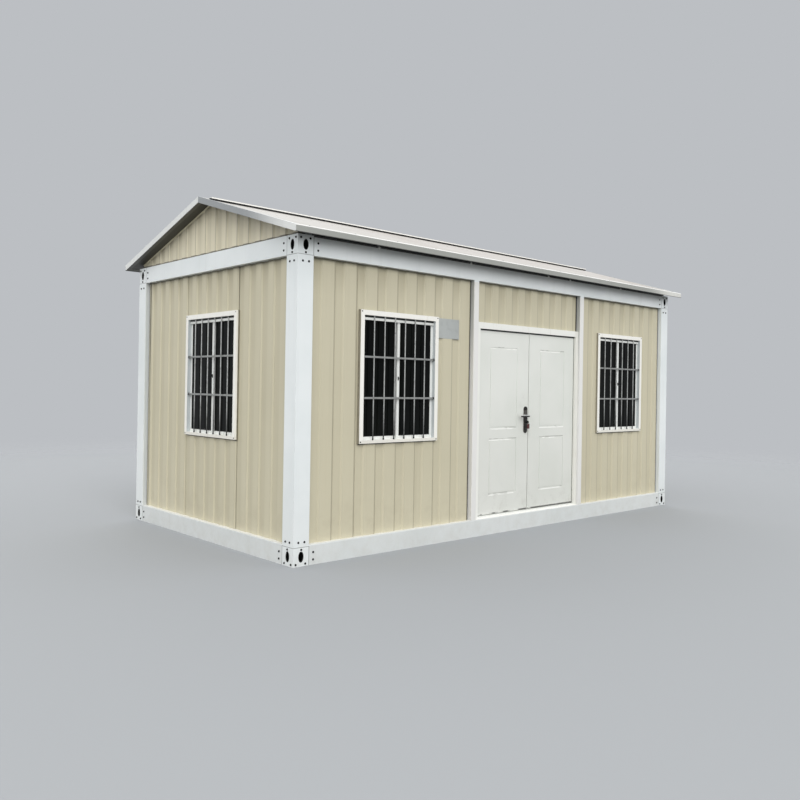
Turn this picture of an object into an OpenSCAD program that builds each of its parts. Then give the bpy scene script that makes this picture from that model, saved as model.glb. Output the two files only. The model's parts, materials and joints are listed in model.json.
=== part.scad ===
// Container house with a gable roof: a bolted steel frame with corner blocks, ribbed
// wall panels, sliding windows and a double door that opens inwards. Millimetres.
// The origin is the centre of the base, +X runs along the door side and -Y out of the door.

/* [Overall] */
// Length of the steel frame along the door side
unit_length = 6000; // [5200:10:8000]
// Width of the steel frame across the gable ends
unit_width = 3060; // [2400:10:3600]
// Height of the steel frame from the ground to the top of the top beams
frame_height = 2785; // [2650:5:3200]

/* [Steel frame] */
// Sheet thickness of the folded posts and beams
frame_sheet = 4; // [2:0.5:8]
// Width of each outer face of a corner post
post_face = 162; // [130:1:220]
// Depth of a corner post's arms behind its outer faces
post_return = 48; // [30:1:70]
// Height of the top beams
top_beam_height = 168; // [120:1:240]
// Height of the bottom beams
bottom_beam_height = 172; // [130:1:240]
// Depth of all beams behind the outer face
beam_depth = 150; // [130:1:220]
// Height of the folded lips at the open side of the beams
beam_lip = 25; // [12:1:45]
// Height of the top corner blocks
top_block_height = 166; // [110:1:230]
// Height of the bottom corner blocks
bottom_block_height = 160; // [110:1:230]
// Wall thickness of the corner blocks
block_wall = 10; // [6:1:20]
// Width of the oval lifting slots in the corner blocks
slot_width = 42; // [25:1:60]
// Height of the oval lifting slots in the corner blocks
slot_height = 76; // [62:1:95]

/* [Floor and ceiling] */
// Width of a floor joist
joist_width = 60; // [40:1:100]
// Height of a floor joist
joist_height = 100; // [60:1:120]
// Largest distance between floor joists
joist_pitch = 600; // [400:10:900]
// Thickness of the floor board
floor_board = 18; // [12:1:22]
// Thickness of the ceiling panel
ceiling_thickness = 40; // [25:1:75]

/* [Wall panels] */
// Distance from the frame's outer face to the panels' outer face
panel_setback = 46; // [25:1:60]
// Thickness of a wall panel
panel_thickness = 75; // [60:1:90]
// Depth of the ribs pressed into the panels
rib_depth = 12; // [5:1:25]
// Width of a rib's sloping flank
rib_flank = 14; // [6:1:25]
// Flat width at the bottom of a rib
rib_floor = 82; // [40:1:110]
// Rib pitch of the front left wall and the back wall
front_left_pitch = 247; // [200:1:300]
// Rib pitch of the front right wall
front_right_pitch = 227; // [190:1:300]
// Rib pitch over the door
over_door_pitch = 219; // [190:1:300]
// Rib pitch of the end walls and gables
end_pitch = 200; // [170:1:260]
// Slit between neighbouring panels
joint_gap = 3; // [2:0.5:6]
// Gap between a panel and the post beside it
panel_end_gap = 12; // [3:1:20]

/* [Windows] */
// Width over the window casing
window_width = 985; // [700:5:1050]
// Height of the casing's bottom edge above the ground
window_bottom = 1003; // [850:1:1100]
// Distance from the top beam down to the casing's top edge
window_head = 409; // [250:1:600]
// Width of the casing's visible face beside and over the opening
casing_face = 45; // [35:1:70]
// Width of the casing's visible face under the opening
casing_sill = 28; // [25:1:60]
// Distance that the casing stands proud of the panel
casing_proud = 22; // [4:1:30]
// Thickness of the casing's sleeve through the wall
sleeve_wall = 18; // [8:1:25]
// Width of the sash stiles and rails
sash_stile = 30; // [24:1:60]
// Depth of each sash
sash_depth = 17; // [12:1:19]
// Overlap of the two sashes at the meeting stiles
sash_lap = 30; // [20:1:60]
// Thickness of the glass
glass_thickness = 5; // [3:1:8]
// Centre of the front left window along X
front_left_window_centre = -1797; // [-1850:1:-1500]
// Centre of the front right window along X
front_right_window_centre = 1916; // [1780:1:2050]
// Distance of the end windows from the middle of their walls towards the front
end_window_shift = 30; // [0:1:40]

/* [Door] */
// Centre of the double door along X
door_centre = 127; // [0:1:200]
// Width of the door frame between the door posts
door_frame_width = 1765; // [1500:5:1800]
// Height of the panel over the door
over_door_height = 417; // [300:1:550]
// Width of the posts beside the door
door_post_width = 69; // [50:1:90]
// Visible width of the door jambs
jamb_face = 56; // [50:1:90]
// Visible height of the lintel
lintel_height = 65; // [45:1:90]
// Height of the threshold above the bottom beam
threshold_height = 23; // [20:1:35]
// Distance from the frame's outer face to the door frame's face
jamb_setback = 22; // [4:1:28]
// Depth of the frame lip that the leaves close against
lip_depth = 20; // [10:1:25]
// Width of the lip in front of a leaf's edge
leaf_lap = 11; // [6:1:18]
// Thickness of a door leaf
leaf_thickness = 40; // [32:1:45]
// Gap round a closed leaf
leaf_clear = 5; // [4:0.5:8]
// Gap between the two leaves
meeting_gap = 10; // [8:1:14]
// Width of the embossed fields
emboss_width = 445; // [300:5:520]
// Width of the pressed groove round an embossed field
emboss_groove = 14; // [8:1:24]
// Depth of the pressed groove round an embossed field
emboss_depth = 4; // [2:0.5:8]

/* [Door fittings] */
// Radius of the hinge knuckles
knuckle_radius = 9; // [8:0.5:10]
// Height of one hinge knuckle
knuckle_height = 60; // [40:1:90]
// Radius of the hinge pins
pin_radius = 5; // [4:0.5:6]
// Width of the hinge flags
flag_width = 32; // [25:1:34]
// Thickness of the hinge flags
flag_thickness = 4; // [3:0.5:5]
// Width of the handle plates
plate_width = 58; // [45:1:70]
// Height of the handle plates
plate_height = 290; // [220:5:320]
// Thickness of the handle plates
plate_thickness = 8; // [5:1:12]
// Distance from the leaf's free edge to the handle's centre line
handle_backset = 45; // [40:1:80]
// Height of the lever's spindle above the ground
lever_height = 1222; // [1000:1:1300]
// Reach of the lever from its spindle to its tip
lever_reach = 124; // [100:1:150]
// Height of the lever's grip
lever_grip = 20; // [14:1:28]
// Thickness of the lever's grip
lever_thickness = 13; // [8:1:20]
// Distance from the handle plate to the lever's outer face
lever_stand = 50; // [35:1:65]
// Radius of the spindle
spindle_radius = 6; // [4:0.5:9]

/* [Roof] */
// Slope of the roof in degrees
roof_slope = 16.7; // [10:0.1:25]
// Height of the roof's top edge at the eaves above the frame
eave_lift = 42; // [35:1:80]
// Overhang of the roof past the long sides
eave_overhang = 131; // [80:1:250]
// Overhang of the roof past the gable ends
gable_overhang = 111; // [80:1:250]
// Thickness of the roof panels
roof_panel_thickness = 50; // [40:1:60]
// Sheet thickness of the roof trims and the ridge cap
trim_sheet = 3; // [1.5:0.5:5]
// Width of the trims' flanges on the roof
trim_flange = 45; // [25:1:70]
// Width of each leg of the ridge cap
ridge_leg = 160; // [100:5:300]
// Distance from the frame's end to the gable panel's outer face
gable_setback = 28; // [15:1:60]
// Thickness of the gable panels
gable_thickness = 50; // [40:1:75]

/* [Hidden] */
// Places of the hinges up the leaf, as shares of its height
hinge_shares = [0.12, 0.5, 0.88];
// Edges of the embossed fields up the leaf, as shares of its height
emboss_shares = [[0.106, 0.403], [0.462, 0.9]];
// Place of the lock cylinder below the spindle, as a share of the plate's height
lock_share = 0.23;
// Place of the spindle up the plate, as a share of its height
spindle_share = 0.64;
// Distance from the window's, the door's or the wall's centre line to a rib's near edge
front_left_rib = -32;
front_right_rib = 8.5;
over_door_rib = -75.5;
back_rib = -15;
end_rib = -97;
// Distance of a seam between panels from the near edge of the rib it lies in
seam_shift = 12;
// Ribs from that rib to a seam, and from seam to seam, wall by wall
front_left_seams = [-2, 4];
front_right_seams = [-3, 6];
over_door_seams = [0, 4];
back_seams = [-2, 4];
end_seams = [-2, 5];
// Overrun of every cut past the solid
overrun = 2;
// Fit of the window sleeve in the panel
sleeve_fit = 2;
// Gap between the two sash tracks
track_gap = 2;
// Distance from the panel's outer face to the outer sash
sash_inset = 16;
// Clearance of the floor board and the ceiling panel beside what they meet
floor_gap = 2;
// Width of the ceiling panel's edge on the lips of the top beams
ceiling_seat = 30;
// Clearance under the leaves
sill_clear = 6;
// Distance from a leaf's inner face to the hinge axis
hinge_stand = 11;
// Play of a pin in its knuckle and of a spindle in its bore
pin_play = 0.05;
// Play between a leaf's knuckles and the fixed knuckles
knuckle_play = 0.3;
// Play between the lever's necks and the handle plates
neck_play = 0.3;
// Radius of the lever's neck
neck_radius = 11;
// Radius and length of the lock cylinder's rose
lock_radius = 9;
lock_proud = 4;
// Play of the trims' flanges on the roof panels
trim_fit = 0.1;
// Gap between the roof panels under the ridge cap
ridge_gap = 12;
// Distance from the long side to the eave rail, and the rail's width
rail_setback = 60;
rail_width = 50;
// Roundness of curves
$fn = 48;

half_length = unit_length / 2;
half_width = unit_width / 2;
floor_line = bottom_beam_height;
wall_top = frame_height - top_beam_height;
panel_back = panel_setback + panel_thickness;
bay_inset = post_face + panel_end_gap;
threshold_top = floor_line + threshold_height;
lintel_top = wall_top - over_door_height;
lintel_bottom = lintel_top - lintel_height;
door_left = door_centre - door_frame_width / 2;
door_right = door_centre + door_frame_width / 2;
jamb_body = jamb_face - leaf_lap - leaf_clear;
lip_back = jamb_setback + lip_depth;
leaf_front = lip_back + leaf_clear;
leaf_back = leaf_front + leaf_thickness;
leaf_bottom = threshold_top + sill_clear;
leaf_top = lintel_bottom + leaf_lap;
leaf_height = leaf_top - leaf_bottom;
leaf_width = (door_frame_width - meeting_gap) / 2 - jamb_body - leaf_clear;
leaf_left = door_left + jamb_body + leaf_clear;
hinge_depth = leaf_back + hinge_stand;
handle_x = leaf_left + leaf_width - handle_backset;
window_height = wall_top - window_head - window_bottom;
opening_width = window_width - 2 * casing_face;
opening_height = window_height - casing_face - casing_sill;
opening_bottom = window_bottom + casing_sill;
sash_width = (opening_width + sash_lap) / 2;
roof_run = half_width + eave_overhang;
roof_end = half_length + gable_overhang;
ridge_top = frame_height + eave_lift + roof_run * tan(roof_slope);
trim_rise = trim_sheet / cos(roof_slope);
panel_rise = roof_panel_thickness / cos(roof_slope);
roof_under = trim_rise + panel_rise;
fascia = roof_under + trim_rise;

frame_white = "#e1e7e8";
panel_beige = "#c8c0a7";
door_white = "#dddfda";
window_white = "#e6e8e6";
glass_dark = "#22282a";
steel_grey = "#8b8d8c";
handle_grey = "#5b5a57";
roof_white = "#eceae6";
trim_grey = "#c9ced2";
board_brown = "#9a8468";

// Height of the roof's top line at a distance from the ridge
function roof_line(y) = ridge_top - abs(y) * tan(roof_slope);

// First place past an edge in a row that repeats both ways from one place
function first_after(edge, place, pitch) = place + pitch * ceil((edge - place) / pitch);

// A box from its low corner to its high corner
module block(low, high) {
    translate(low) cube(high - low);
}

// Stands a wall's own frame on one side of the house: u to the right as seen from
// outside, then the depth inwards from the frame's outer face, then the height
module on_front() {
    translate([0, -half_width, 0]) children();
}
module on_back() {
    translate([0, half_width, 0]) rotate([0, 0, 180]) children();
}
module on_left() {
    translate([-half_length, 0, 0]) rotate([0, 0, -90]) children();
}
module on_right() {
    translate([half_length, 0, 0]) rotate([0, 0, 90]) children();
}

// Sweeps an outline drawn in depth and height along u
module along_wall(from, to) {
    translate([from, 0, 0]) rotate([90, 0, 90]) linear_extrude(to - from) children();
}

// Folded channel with lips, open to the inside of the house
module channel(length, height) {
    along_wall(-length / 2, length / 2)
        polygon([
            [0, 0], [beam_depth, 0], [beam_depth, beam_lip], [beam_depth - frame_sheet, beam_lip],
            [beam_depth - frame_sheet, frame_sheet], [frame_sheet, frame_sheet],
            [frame_sheet, height - frame_sheet], [beam_depth - frame_sheet, height - frame_sheet],
            [beam_depth - frame_sheet, height - beam_lip], [beam_depth, height - beam_lip],
            [beam_depth, height], [0, height]
        ]);
}

module long_bottom_beams() {
    color(frame_white) {
        on_front() channel(unit_length - 2 * post_face, bottom_beam_height);
        on_back() channel(unit_length - 2 * post_face, bottom_beam_height);
    }
}

module end_bottom_beams() {
    color(frame_white) {
        on_left() channel(unit_width - 2 * post_face, bottom_beam_height);
        on_right() channel(unit_width - 2 * post_face, bottom_beam_height);
    }
}

module long_top_beams() {
    color(frame_white) translate([0, 0, wall_top]) {
        on_front() channel(unit_length - 2 * post_face, top_beam_height);
        on_back() channel(unit_length - 2 * post_face, top_beam_height);
    }
}

module end_top_beams() {
    color(frame_white) translate([0, 0, wall_top]) {
        on_left() channel(unit_width - 2 * post_face, top_beam_height);
        on_right() channel(unit_width - 2 * post_face, top_beam_height);
    }
}

// Moves a piece drawn at the front left corner to a corner of the house
module at_corner(side, end) {
    mirror([side > 0 ? 1 : 0, 0, 0]) mirror([0, end > 0 ? 1 : 0, 0])
        translate([-half_length, -half_width, 0]) children();
}

// Outline of an L with both arms of one depth
module angle_outline(arm, depth, inset) {
    polygon([
        [inset, inset], [arm - inset, inset], [arm - inset, depth - inset],
        [depth - inset, depth - inset], [depth - inset, arm - inset], [inset, arm - inset]
    ]);
}

// L-section post of folded sheet, hollow from end to end
module corner_post(side, end) {
    post_foot = bottom_block_height;
    post_height = frame_height - top_block_height - bottom_block_height;
    color(frame_white) at_corner(side, end)
        translate([0, 0, post_foot]) linear_extrude(post_height)
            difference() {
                angle_outline(post_face, post_return, 0);
                angle_outline(post_face, post_return, frame_sheet);
            }
}

// Upright oval, width by height, round at both ends
module oval(width, height) {
    straight = height - width;
    square([width, straight], center = true);
    for (s = [-1, 1]) translate([0, s * straight / 2]) circle(d = width);
}

// Welded hollow corner block with an oval lifting slot in each outer face
module corner_block(height) {
    difference() {
        cube([post_face, post_face, height]);
        translate([block_wall, block_wall, block_wall])
            cube([post_face, post_face, height] - 2 * [block_wall, block_wall, block_wall]);
        translate([post_face / 2, block_wall + overrun, height / 2]) rotate([90, 0, 0])
            linear_extrude(block_wall + 2 * overrun) oval(slot_width, slot_height);
        translate([-overrun, post_face / 2, height / 2]) rotate([90, 0, 90])
            linear_extrude(block_wall + 2 * overrun) oval(slot_width, slot_height);
    }
}

module corner_blocks(height) {
    for (side = [-1, 1], end = [-1, 1]) at_corner(side, end) corner_block(height);
}

module bottom_corner_blocks() {
    color(frame_white) corner_blocks(bottom_block_height);
}

module top_corner_blocks() {
    color(frame_white) translate([0, 0, frame_height - top_block_height]) corner_blocks(top_block_height);
}

// Tube joists between the lips of the long bottom beams
module floor_joists() {
    span = unit_length - 2 * beam_depth - joist_width;
    bays = ceil(span / joist_pitch);
    reach = half_width - beam_depth;
    joist = [joist_width, joist_height];
    color(steel_grey)
        for (i = [1 : bays - 1])
            translate([-span / 2 + i * span / bays, 0, floor_line - joist_height / 2]) rotate([90, 0, 0])
                linear_extrude(2 * reach, center = true)
                    difference() {
                        square(joist, center = true);
                        square(joist - 2 * [frame_sheet, frame_sheet], center = true);
                    }
}

module floor_panel() {
    x = half_length - panel_back - floor_gap;
    y = half_width - panel_back - floor_gap;
    color(board_brown) block([-x, -y, floor_line], [x, y, floor_line + floor_board]);
}

// Panel whose edges lie on the lips of the top beams, notched round the corner blocks
module ceiling_panel() {
    x = half_length - beam_depth + ceiling_seat;
    y = half_width - beam_depth + ceiling_seat;
    low = wall_top + beam_lip;
    notch = post_face + floor_gap;
    color(roof_white) difference() {
        block([-x, -y, low], [x, y, low + ceiling_thickness]);
        for (side = [-1, 1], end = [-1, 1]) at_corner(side, end)
            block([0, 0, low - overrun], [notch, notch, low + ceiling_thickness + overrun]);
    }
}

// Trapezium groove of one rib, cut from the panel's outer face
module rib_groove(u, bottom, top) {
    face = panel_setback;
    far = u + 2 * rib_flank + rib_floor;
    translate([0, 0, bottom - overrun]) linear_extrude(top - bottom + 2 * overrun)
        polygon([
            [u, face - overrun], [u, face], [u + rib_flank, face + rib_depth],
            [far - rib_flank, face + rib_depth], [far, face], [far, face - overrun]
        ]);
}

// Ribbed wall between two posts. The ribs repeat both ways from one rib, and the seams
// between its panels lie in every few ribs.
module ribbed_bay(left, right, bottom, top, rib, pitch, seams) {
    seam = rib + seams[0] * pitch + seam_shift;
    seam_pitch = seams[1] * pitch;
    difference() {
        block([left, panel_setback, bottom], [right, panel_back, top]);
        for (u = [first_after(left, rib, pitch) : pitch : right]) rib_groove(u, bottom, top);
        for (u = [first_after(left, seam, seam_pitch) : seam_pitch : right])
            block(
                [u, panel_setback - overrun, bottom - overrun],
                [u + joint_gap, panel_back + overrun, top + overrun]
            );
    }
}

// Hole through a wall for a window's sleeve
module window_hole(centre) {
    width = opening_width + 2 * (sleeve_wall + sleeve_fit);
    low = opening_bottom - sleeve_wall - sleeve_fit;
    block(
        [centre - width / 2, panel_setback - overrun, low],
        [centre + width / 2, panel_back + overrun, low + opening_height + 2 * (sleeve_wall + sleeve_fit)]
    );
}

module front_left_wall() {
    color(panel_beige) on_front() difference() {
        ribbed_bay(
            -half_length + bay_inset, door_left - door_post_width - panel_end_gap, floor_line, wall_top,
            front_left_window_centre + front_left_rib, front_left_pitch, front_left_seams
        );
        window_hole(front_left_window_centre);
    }
}

module front_right_wall() {
    color(panel_beige) on_front() difference() {
        ribbed_bay(
            door_right + door_post_width + panel_end_gap, half_length - bay_inset, floor_line, wall_top,
            front_right_window_centre + front_right_rib, front_right_pitch, front_right_seams
        );
        window_hole(front_right_window_centre);
    }
}

module over_door_panel() {
    color(panel_beige) on_front()
        ribbed_bay(
            door_left + panel_end_gap, door_right - panel_end_gap, lintel_top, wall_top,
            door_centre + over_door_rib, over_door_pitch, over_door_seams
        );
}

module end_bay(window_centre) {
    difference() {
        ribbed_bay(
            -half_width + bay_inset, half_width - bay_inset, floor_line, wall_top,
            end_rib, end_pitch, end_seams
        );
        window_hole(window_centre);
    }
}

module left_end_wall() {
    color(panel_beige) on_left() end_bay(end_window_shift);
}

module right_end_wall() {
    color(panel_beige) on_right() end_bay(-end_window_shift);
}

module back_wall() {
    color(panel_beige) on_back()
        ribbed_bay(
            -half_length + bay_inset, half_length - bay_inset, floor_line, wall_top,
            back_rib, front_left_pitch, back_seams
        );
}

// Upright rectangle with a rectangular hole, for casings, sashes and pressed fields
module upright_ring(width, height, border, sill, depth) {
    difference() {
        translate([-width / 2, 0, 0]) cube([width, depth, height]);
        translate([border - width / 2, -overrun, sill])
            cube([width - 2 * border, depth + 2 * overrun, height - border - sill]);
    }
}

// Casing: a face flange on the panel and a sleeve through the wall
module window_casing(centre) {
    color(frame_white) translate([centre, 0, 0]) {
        translate([0, panel_setback - casing_proud, window_bottom])
            upright_ring(window_width, window_height, casing_face, casing_sill, casing_proud);
        translate([0, panel_setback, opening_bottom - sleeve_wall])
            upright_ring(
                opening_width + 2 * sleeve_wall, opening_height + 2 * sleeve_wall,
                sleeve_wall, sleeve_wall, panel_thickness
            );
    }
}

// Puts a child in each sash: the one on the outer side in the outer track, the other behind it
module each_sash(centre, outer) {
    for (s = [-1, 1])
        translate([
            centre + s * (opening_width - sash_width) / 2,
            panel_setback + sash_inset + (s == outer ? 0 : sash_depth + track_gap),
            opening_bottom
        ]) children();
}

module window_sashes(centre, outer = 1) {
    color(window_white) each_sash(centre, outer)
        upright_ring(sash_width, opening_height, sash_stile, sash_stile, sash_depth);
}

module window_panes(centre, outer = 1) {
    color(glass_dark) each_sash(centre, outer)
        translate([sash_stile - sash_width / 2, (sash_depth - glass_thickness) / 2, sash_stile])
            cube([sash_width - 2 * sash_stile, glass_thickness, opening_height - 2 * sash_stile]);
}

// Tube post from the bottom beam to the top beam
module door_post(left) {
    color(frame_white) on_front() translate([left, 0, floor_line]) linear_extrude(wall_top - floor_line)
        difference() {
            square([door_post_width, panel_back]);
            translate([frame_sheet, frame_sheet])
                square([door_post_width - 2 * frame_sheet, panel_back - 2 * frame_sheet]);
        }
}

// Left jamb: a face lip in front of the leaf's edge and a body beside it
module jamb() {
    block([door_left, jamb_setback, floor_line], [door_left + jamb_face, lip_back, lintel_bottom]);
    block([door_left, lip_back, floor_line], [door_left + jamb_body, leaf_back, leaf_top + leaf_clear]);
}

module left_door_jamb() {
    color(door_white) on_front() jamb();
}

module right_door_jamb() {
    color(door_white) on_front() translate([2 * door_centre, 0, 0]) mirror([1, 0, 0]) jamb();
}

module door_lintel() {
    color(door_white) on_front() {
        block([door_left, jamb_setback, lintel_bottom], [door_right, lip_back, lintel_top]);
        block([door_left, lip_back, leaf_top + leaf_clear], [door_right, panel_back, lintel_top]);
    }
}

module door_threshold() {
    color(door_white) on_front() {
        block(
            [door_left + jamb_face, jamb_setback, floor_line],
            [door_right - jamb_face, lip_back, threshold_top]
        );
        block(
            [door_left + jamb_body, lip_back, floor_line],
            [door_right - jamb_body, panel_back, threshold_top]
        );
    }
}

// Fixed half of the left leaf's hinges: flag, knuckle and pin on the jamb
module fixed_hinges() {
    axis_x = leaf_left - leaf_clear / 2;
    for (share = hinge_shares) {
        split = leaf_bottom + share * leaf_height;
        block(
            [axis_x - flag_width, leaf_back, split - knuckle_height],
            [axis_x, leaf_back + flag_thickness, split]
        );
        translate([axis_x, hinge_depth, split - knuckle_height]) {
            cylinder(r = knuckle_radius, h = knuckle_height);
            cylinder(r = pin_radius, h = 2 * knuckle_height);
        }
    }
}

module left_door_hinges() {
    color(steel_grey) on_front() fixed_hinges();
}

module right_door_hinges() {
    color(steel_grey) on_front() translate([2 * door_centre, 0, 0]) mirror([1, 0, 0]) fixed_hinges();
}

// Pressed groove round one embossed field, on the leaf's outer face
module emboss_ring(middle, low, high) {
    translate([middle, leaf_front - overrun, low])
        upright_ring(emboss_width, high - low, emboss_groove, emboss_groove, emboss_depth + overrun);
}

// Left leaf with its embossed fields and its half of the hinges
module leaf() {
    axis_x = leaf_left - leaf_clear / 2;
    difference() {
        union() {
            block([leaf_left, leaf_front, leaf_bottom], [leaf_left + leaf_width, leaf_back, leaf_top]);
            for (share = hinge_shares) {
                split = leaf_bottom + share * leaf_height + knuckle_play;
                block(
                    [axis_x, leaf_back, split],
                    [axis_x + flag_width, leaf_back + flag_thickness, split + knuckle_height]
                );
                translate([axis_x, hinge_depth, split])
                    cylinder(r = knuckle_radius, h = knuckle_height);
            }
        }
        for (share = hinge_shares)
            translate([axis_x, hinge_depth, leaf_bottom + share * leaf_height - overrun])
                cylinder(r = pin_radius + pin_play, h = knuckle_height + 2 * overrun);
        for (field = emboss_shares)
            emboss_ring(
                leaf_left + leaf_width / 2,
                leaf_bottom + field[0] * leaf_height, leaf_bottom + field[1] * leaf_height
            );
    }
}

module left_door_leaf() {
    color(door_white) on_front() difference() {
        leaf();
        translate([handle_x, leaf_back + overrun, lever_height]) rotate([90, 0, 0])
            cylinder(r = spindle_radius + pin_play, h = leaf_thickness + 2 * overrun);
    }
}

module right_door_leaf() {
    color(door_white) on_front() translate([2 * door_centre, 0, 0]) mirror([1, 0, 0]) leaf();
}

// Long plate with round ends, bored for the spindle, with the lock cylinder's rose
module handle_plate() {
    lock_drop = lock_share * plate_height;
    middle = plate_height / 2 - spindle_share * plate_height;
    difference() {
        union() {
            translate([0, 0, middle]) rotate([90, 0, 0])
                linear_extrude(plate_thickness) oval(plate_width, plate_height);
            translate([0, 0, -lock_drop]) rotate([90, 0, 0])
                cylinder(r = lock_radius, h = plate_thickness + lock_proud);
        }
        translate([0, overrun, 0]) rotate([90, 0, 0])
            cylinder(r = spindle_radius + pin_play, h = plate_thickness + 2 * overrun);
    }
}

module handle_plates() {
    color(handle_grey) on_front() {
        translate([handle_x, leaf_front, lever_height]) handle_plate();
        translate([handle_x, leaf_back, lever_height]) mirror([0, 1, 0]) handle_plate();
    }
}

// One lever on its neck, pointing away from the leaf's free edge
module lever_arm() {
    neck = lever_stand - lever_thickness - neck_play;
    tip = lever_reach - lever_grip / 2;
    translate([0, -neck_play, 0]) rotate([90, 0, 0]) cylinder(r = neck_radius, h = neck);
    translate([0, -neck_play - neck, 0]) rotate([90, 0, 0]) linear_extrude(lever_thickness) {
        circle(d = lever_grip);
        translate([-tip, -lever_grip / 2]) square([tip, lever_grip]);
        translate([-tip, 0]) circle(d = lever_grip);
    }
}

module door_lever() {
    color(handle_grey) on_front() {
        translate([handle_x, leaf_front - plate_thickness, lever_height]) lever_arm();
        translate([handle_x, leaf_back + plate_thickness, lever_height]) mirror([0, 1, 0]) lever_arm();
        translate([handle_x, leaf_back + plate_thickness + neck_play, lever_height]) rotate([90, 0, 0])
            cylinder(r = spindle_radius, h = leaf_thickness + 2 * (plate_thickness + neck_play));
    }
}

// Sweeps an outline drawn in Y and Z along the roof's length
module along_roof(from, to) {
    translate([from, 0, 0]) rotate([90, 0, 90]) linear_extrude(to - from) children();
}

// Sloping band on the front slope between two distances from the ridge and two depths
module front_band(near, far, upper, lower) {
    polygon([
        [-far, roof_line(far) - upper], [-near, roof_line(near) - upper],
        [-near, roof_line(near) - lower], [-far, roof_line(far) - lower]
    ]);
}

// Band over both slopes, bent at the ridge
module gable_band(far, upper, lower) {
    polygon([
        [-far, roof_line(far) - upper], [0, ridge_top - upper], [far, roof_line(far) - upper],
        [far, roof_line(far) - lower], [0, ridge_top - lower], [-far, roof_line(far) - lower]
    ]);
}

module front_roof_panel() {
    end = roof_end - trim_sheet;
    color(roof_white) along_roof(-end, end)
        front_band(ridge_gap / 2, roof_run - trim_sheet, trim_rise, roof_under);
}

module back_roof_panel() {
    mirror([0, 1, 0]) front_roof_panel();
}

module ridge_cap() {
    end = roof_end - trim_flange;
    color(roof_white) along_roof(-end, end) gable_band(ridge_leg, 0, trim_rise);
}

// Channel trim over the lower edge of a roof panel
module eave_trim() {
    end = roof_end - trim_sheet;
    color(trim_grey) {
        along_roof(-roof_end, roof_end) front_band(roof_run - trim_sheet, roof_run, 0, fascia);
        along_roof(-end, end) {
            front_band(roof_run - trim_flange, roof_run - trim_sheet, 0, trim_rise - trim_fit);
            front_band(roof_run - trim_flange, roof_run - trim_sheet, roof_under + trim_fit, fascia);
        }
    }
}

module eave_trims() {
    eave_trim();
    mirror([0, 1, 0]) eave_trim();
}

// Channel trim over the roof's end, bent at the ridge
module gable_trim() {
    inner = roof_end - trim_flange;
    color(trim_grey) {
        along_roof(-roof_end, -roof_end + trim_sheet) gable_band(roof_run - trim_sheet, 0, fascia);
        along_roof(-roof_end + trim_sheet, -inner) {
            gable_band(roof_run - trim_flange, 0, trim_rise - trim_fit);
            gable_band(roof_run - trim_flange, roof_under + trim_fit, fascia);
        }
    }
}

module gable_trims() {
    gable_trim();
    mirror([1, 0, 0]) gable_trim();
}

// Ribbed gable under the roof panels, standing on the end top beam
module gable_panel() {
    reach = half_width - panel_setback;
    shift = gable_setback - panel_setback;
    color(panel_beige) difference() {
        along_roof(-half_length + gable_setback, -half_length + gable_setback + gable_thickness)
            polygon([
                [-reach, frame_height], [reach, frame_height], [reach, roof_line(reach) - roof_under],
                [0, ridge_top - roof_under], [-reach, roof_line(reach) - roof_under]
            ]);
        on_left() translate([0, shift, 0])
            for (u = [first_after(-reach, end_rib, end_pitch) : end_pitch : reach])
                rib_groove(u, frame_height, ridge_top);
    }
}

module left_gable_panel() {
    gable_panel();
}

module right_gable_panel() {
    mirror([1, 0, 0]) gable_panel();
}

// Rails on the long top beams that carry the lower edges of the roof panels
module eave_rail() {
    outer = half_width - rail_setback;
    inner = outer - rail_width;
    end = half_length - gable_setback - gable_thickness;
    color(steel_grey) along_roof(-end, end)
        polygon([
            [-outer, frame_height], [-inner, frame_height],
            [-inner, roof_line(inner) - roof_under], [-outer, roof_line(outer) - roof_under]
        ]);
}

module eave_rails() {
    eave_rail();
    mirror([0, 1, 0]) eave_rail();
}

long_bottom_beams();
end_bottom_beams();
long_top_beams();
end_top_beams();
corner_post(-1, -1);  // front_left_post
corner_post(1, -1);  // front_right_post
corner_post(-1, 1);  // back_left_post
corner_post(1, 1);  // back_right_post
bottom_corner_blocks();
top_corner_blocks();
floor_joists();
floor_panel();
ceiling_panel();
front_left_wall();
front_right_wall();
over_door_panel();
left_end_wall();
right_end_wall();
back_wall();
on_front() window_casing(front_left_window_centre);  // front_left_casing
on_front() window_sashes(front_left_window_centre);  // front_left_sashes
on_front() window_panes(front_left_window_centre);  // front_left_panes
on_front() window_casing(front_right_window_centre);  // front_right_casing
on_front() window_sashes(front_right_window_centre);  // front_right_sashes
on_front() window_panes(front_right_window_centre);  // front_right_panes
on_left() window_casing(end_window_shift);  // left_end_casing
on_left() window_sashes(end_window_shift, -1);  // left_end_sashes
on_left() window_panes(end_window_shift, -1);  // left_end_panes
on_right() window_casing(-end_window_shift);  // right_end_casing
on_right() window_sashes(-end_window_shift);  // right_end_sashes
on_right() window_panes(-end_window_shift);  // right_end_panes
door_post(door_left - door_post_width);  // left_door_post
door_post(door_right);  // right_door_post
left_door_jamb();
right_door_jamb();
door_lintel();
door_threshold();
left_door_hinges();
right_door_hinges();
left_door_leaf();
right_door_leaf();
handle_plates();
door_lever();
front_roof_panel();
back_roof_panel();
ridge_cap();
eave_trims();
gable_trims();
left_gable_panel();
right_gable_panel();
eave_rails();
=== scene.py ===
import json
import math

import bmesh
import bpy
from mathutils import Matrix, Vector


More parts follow.
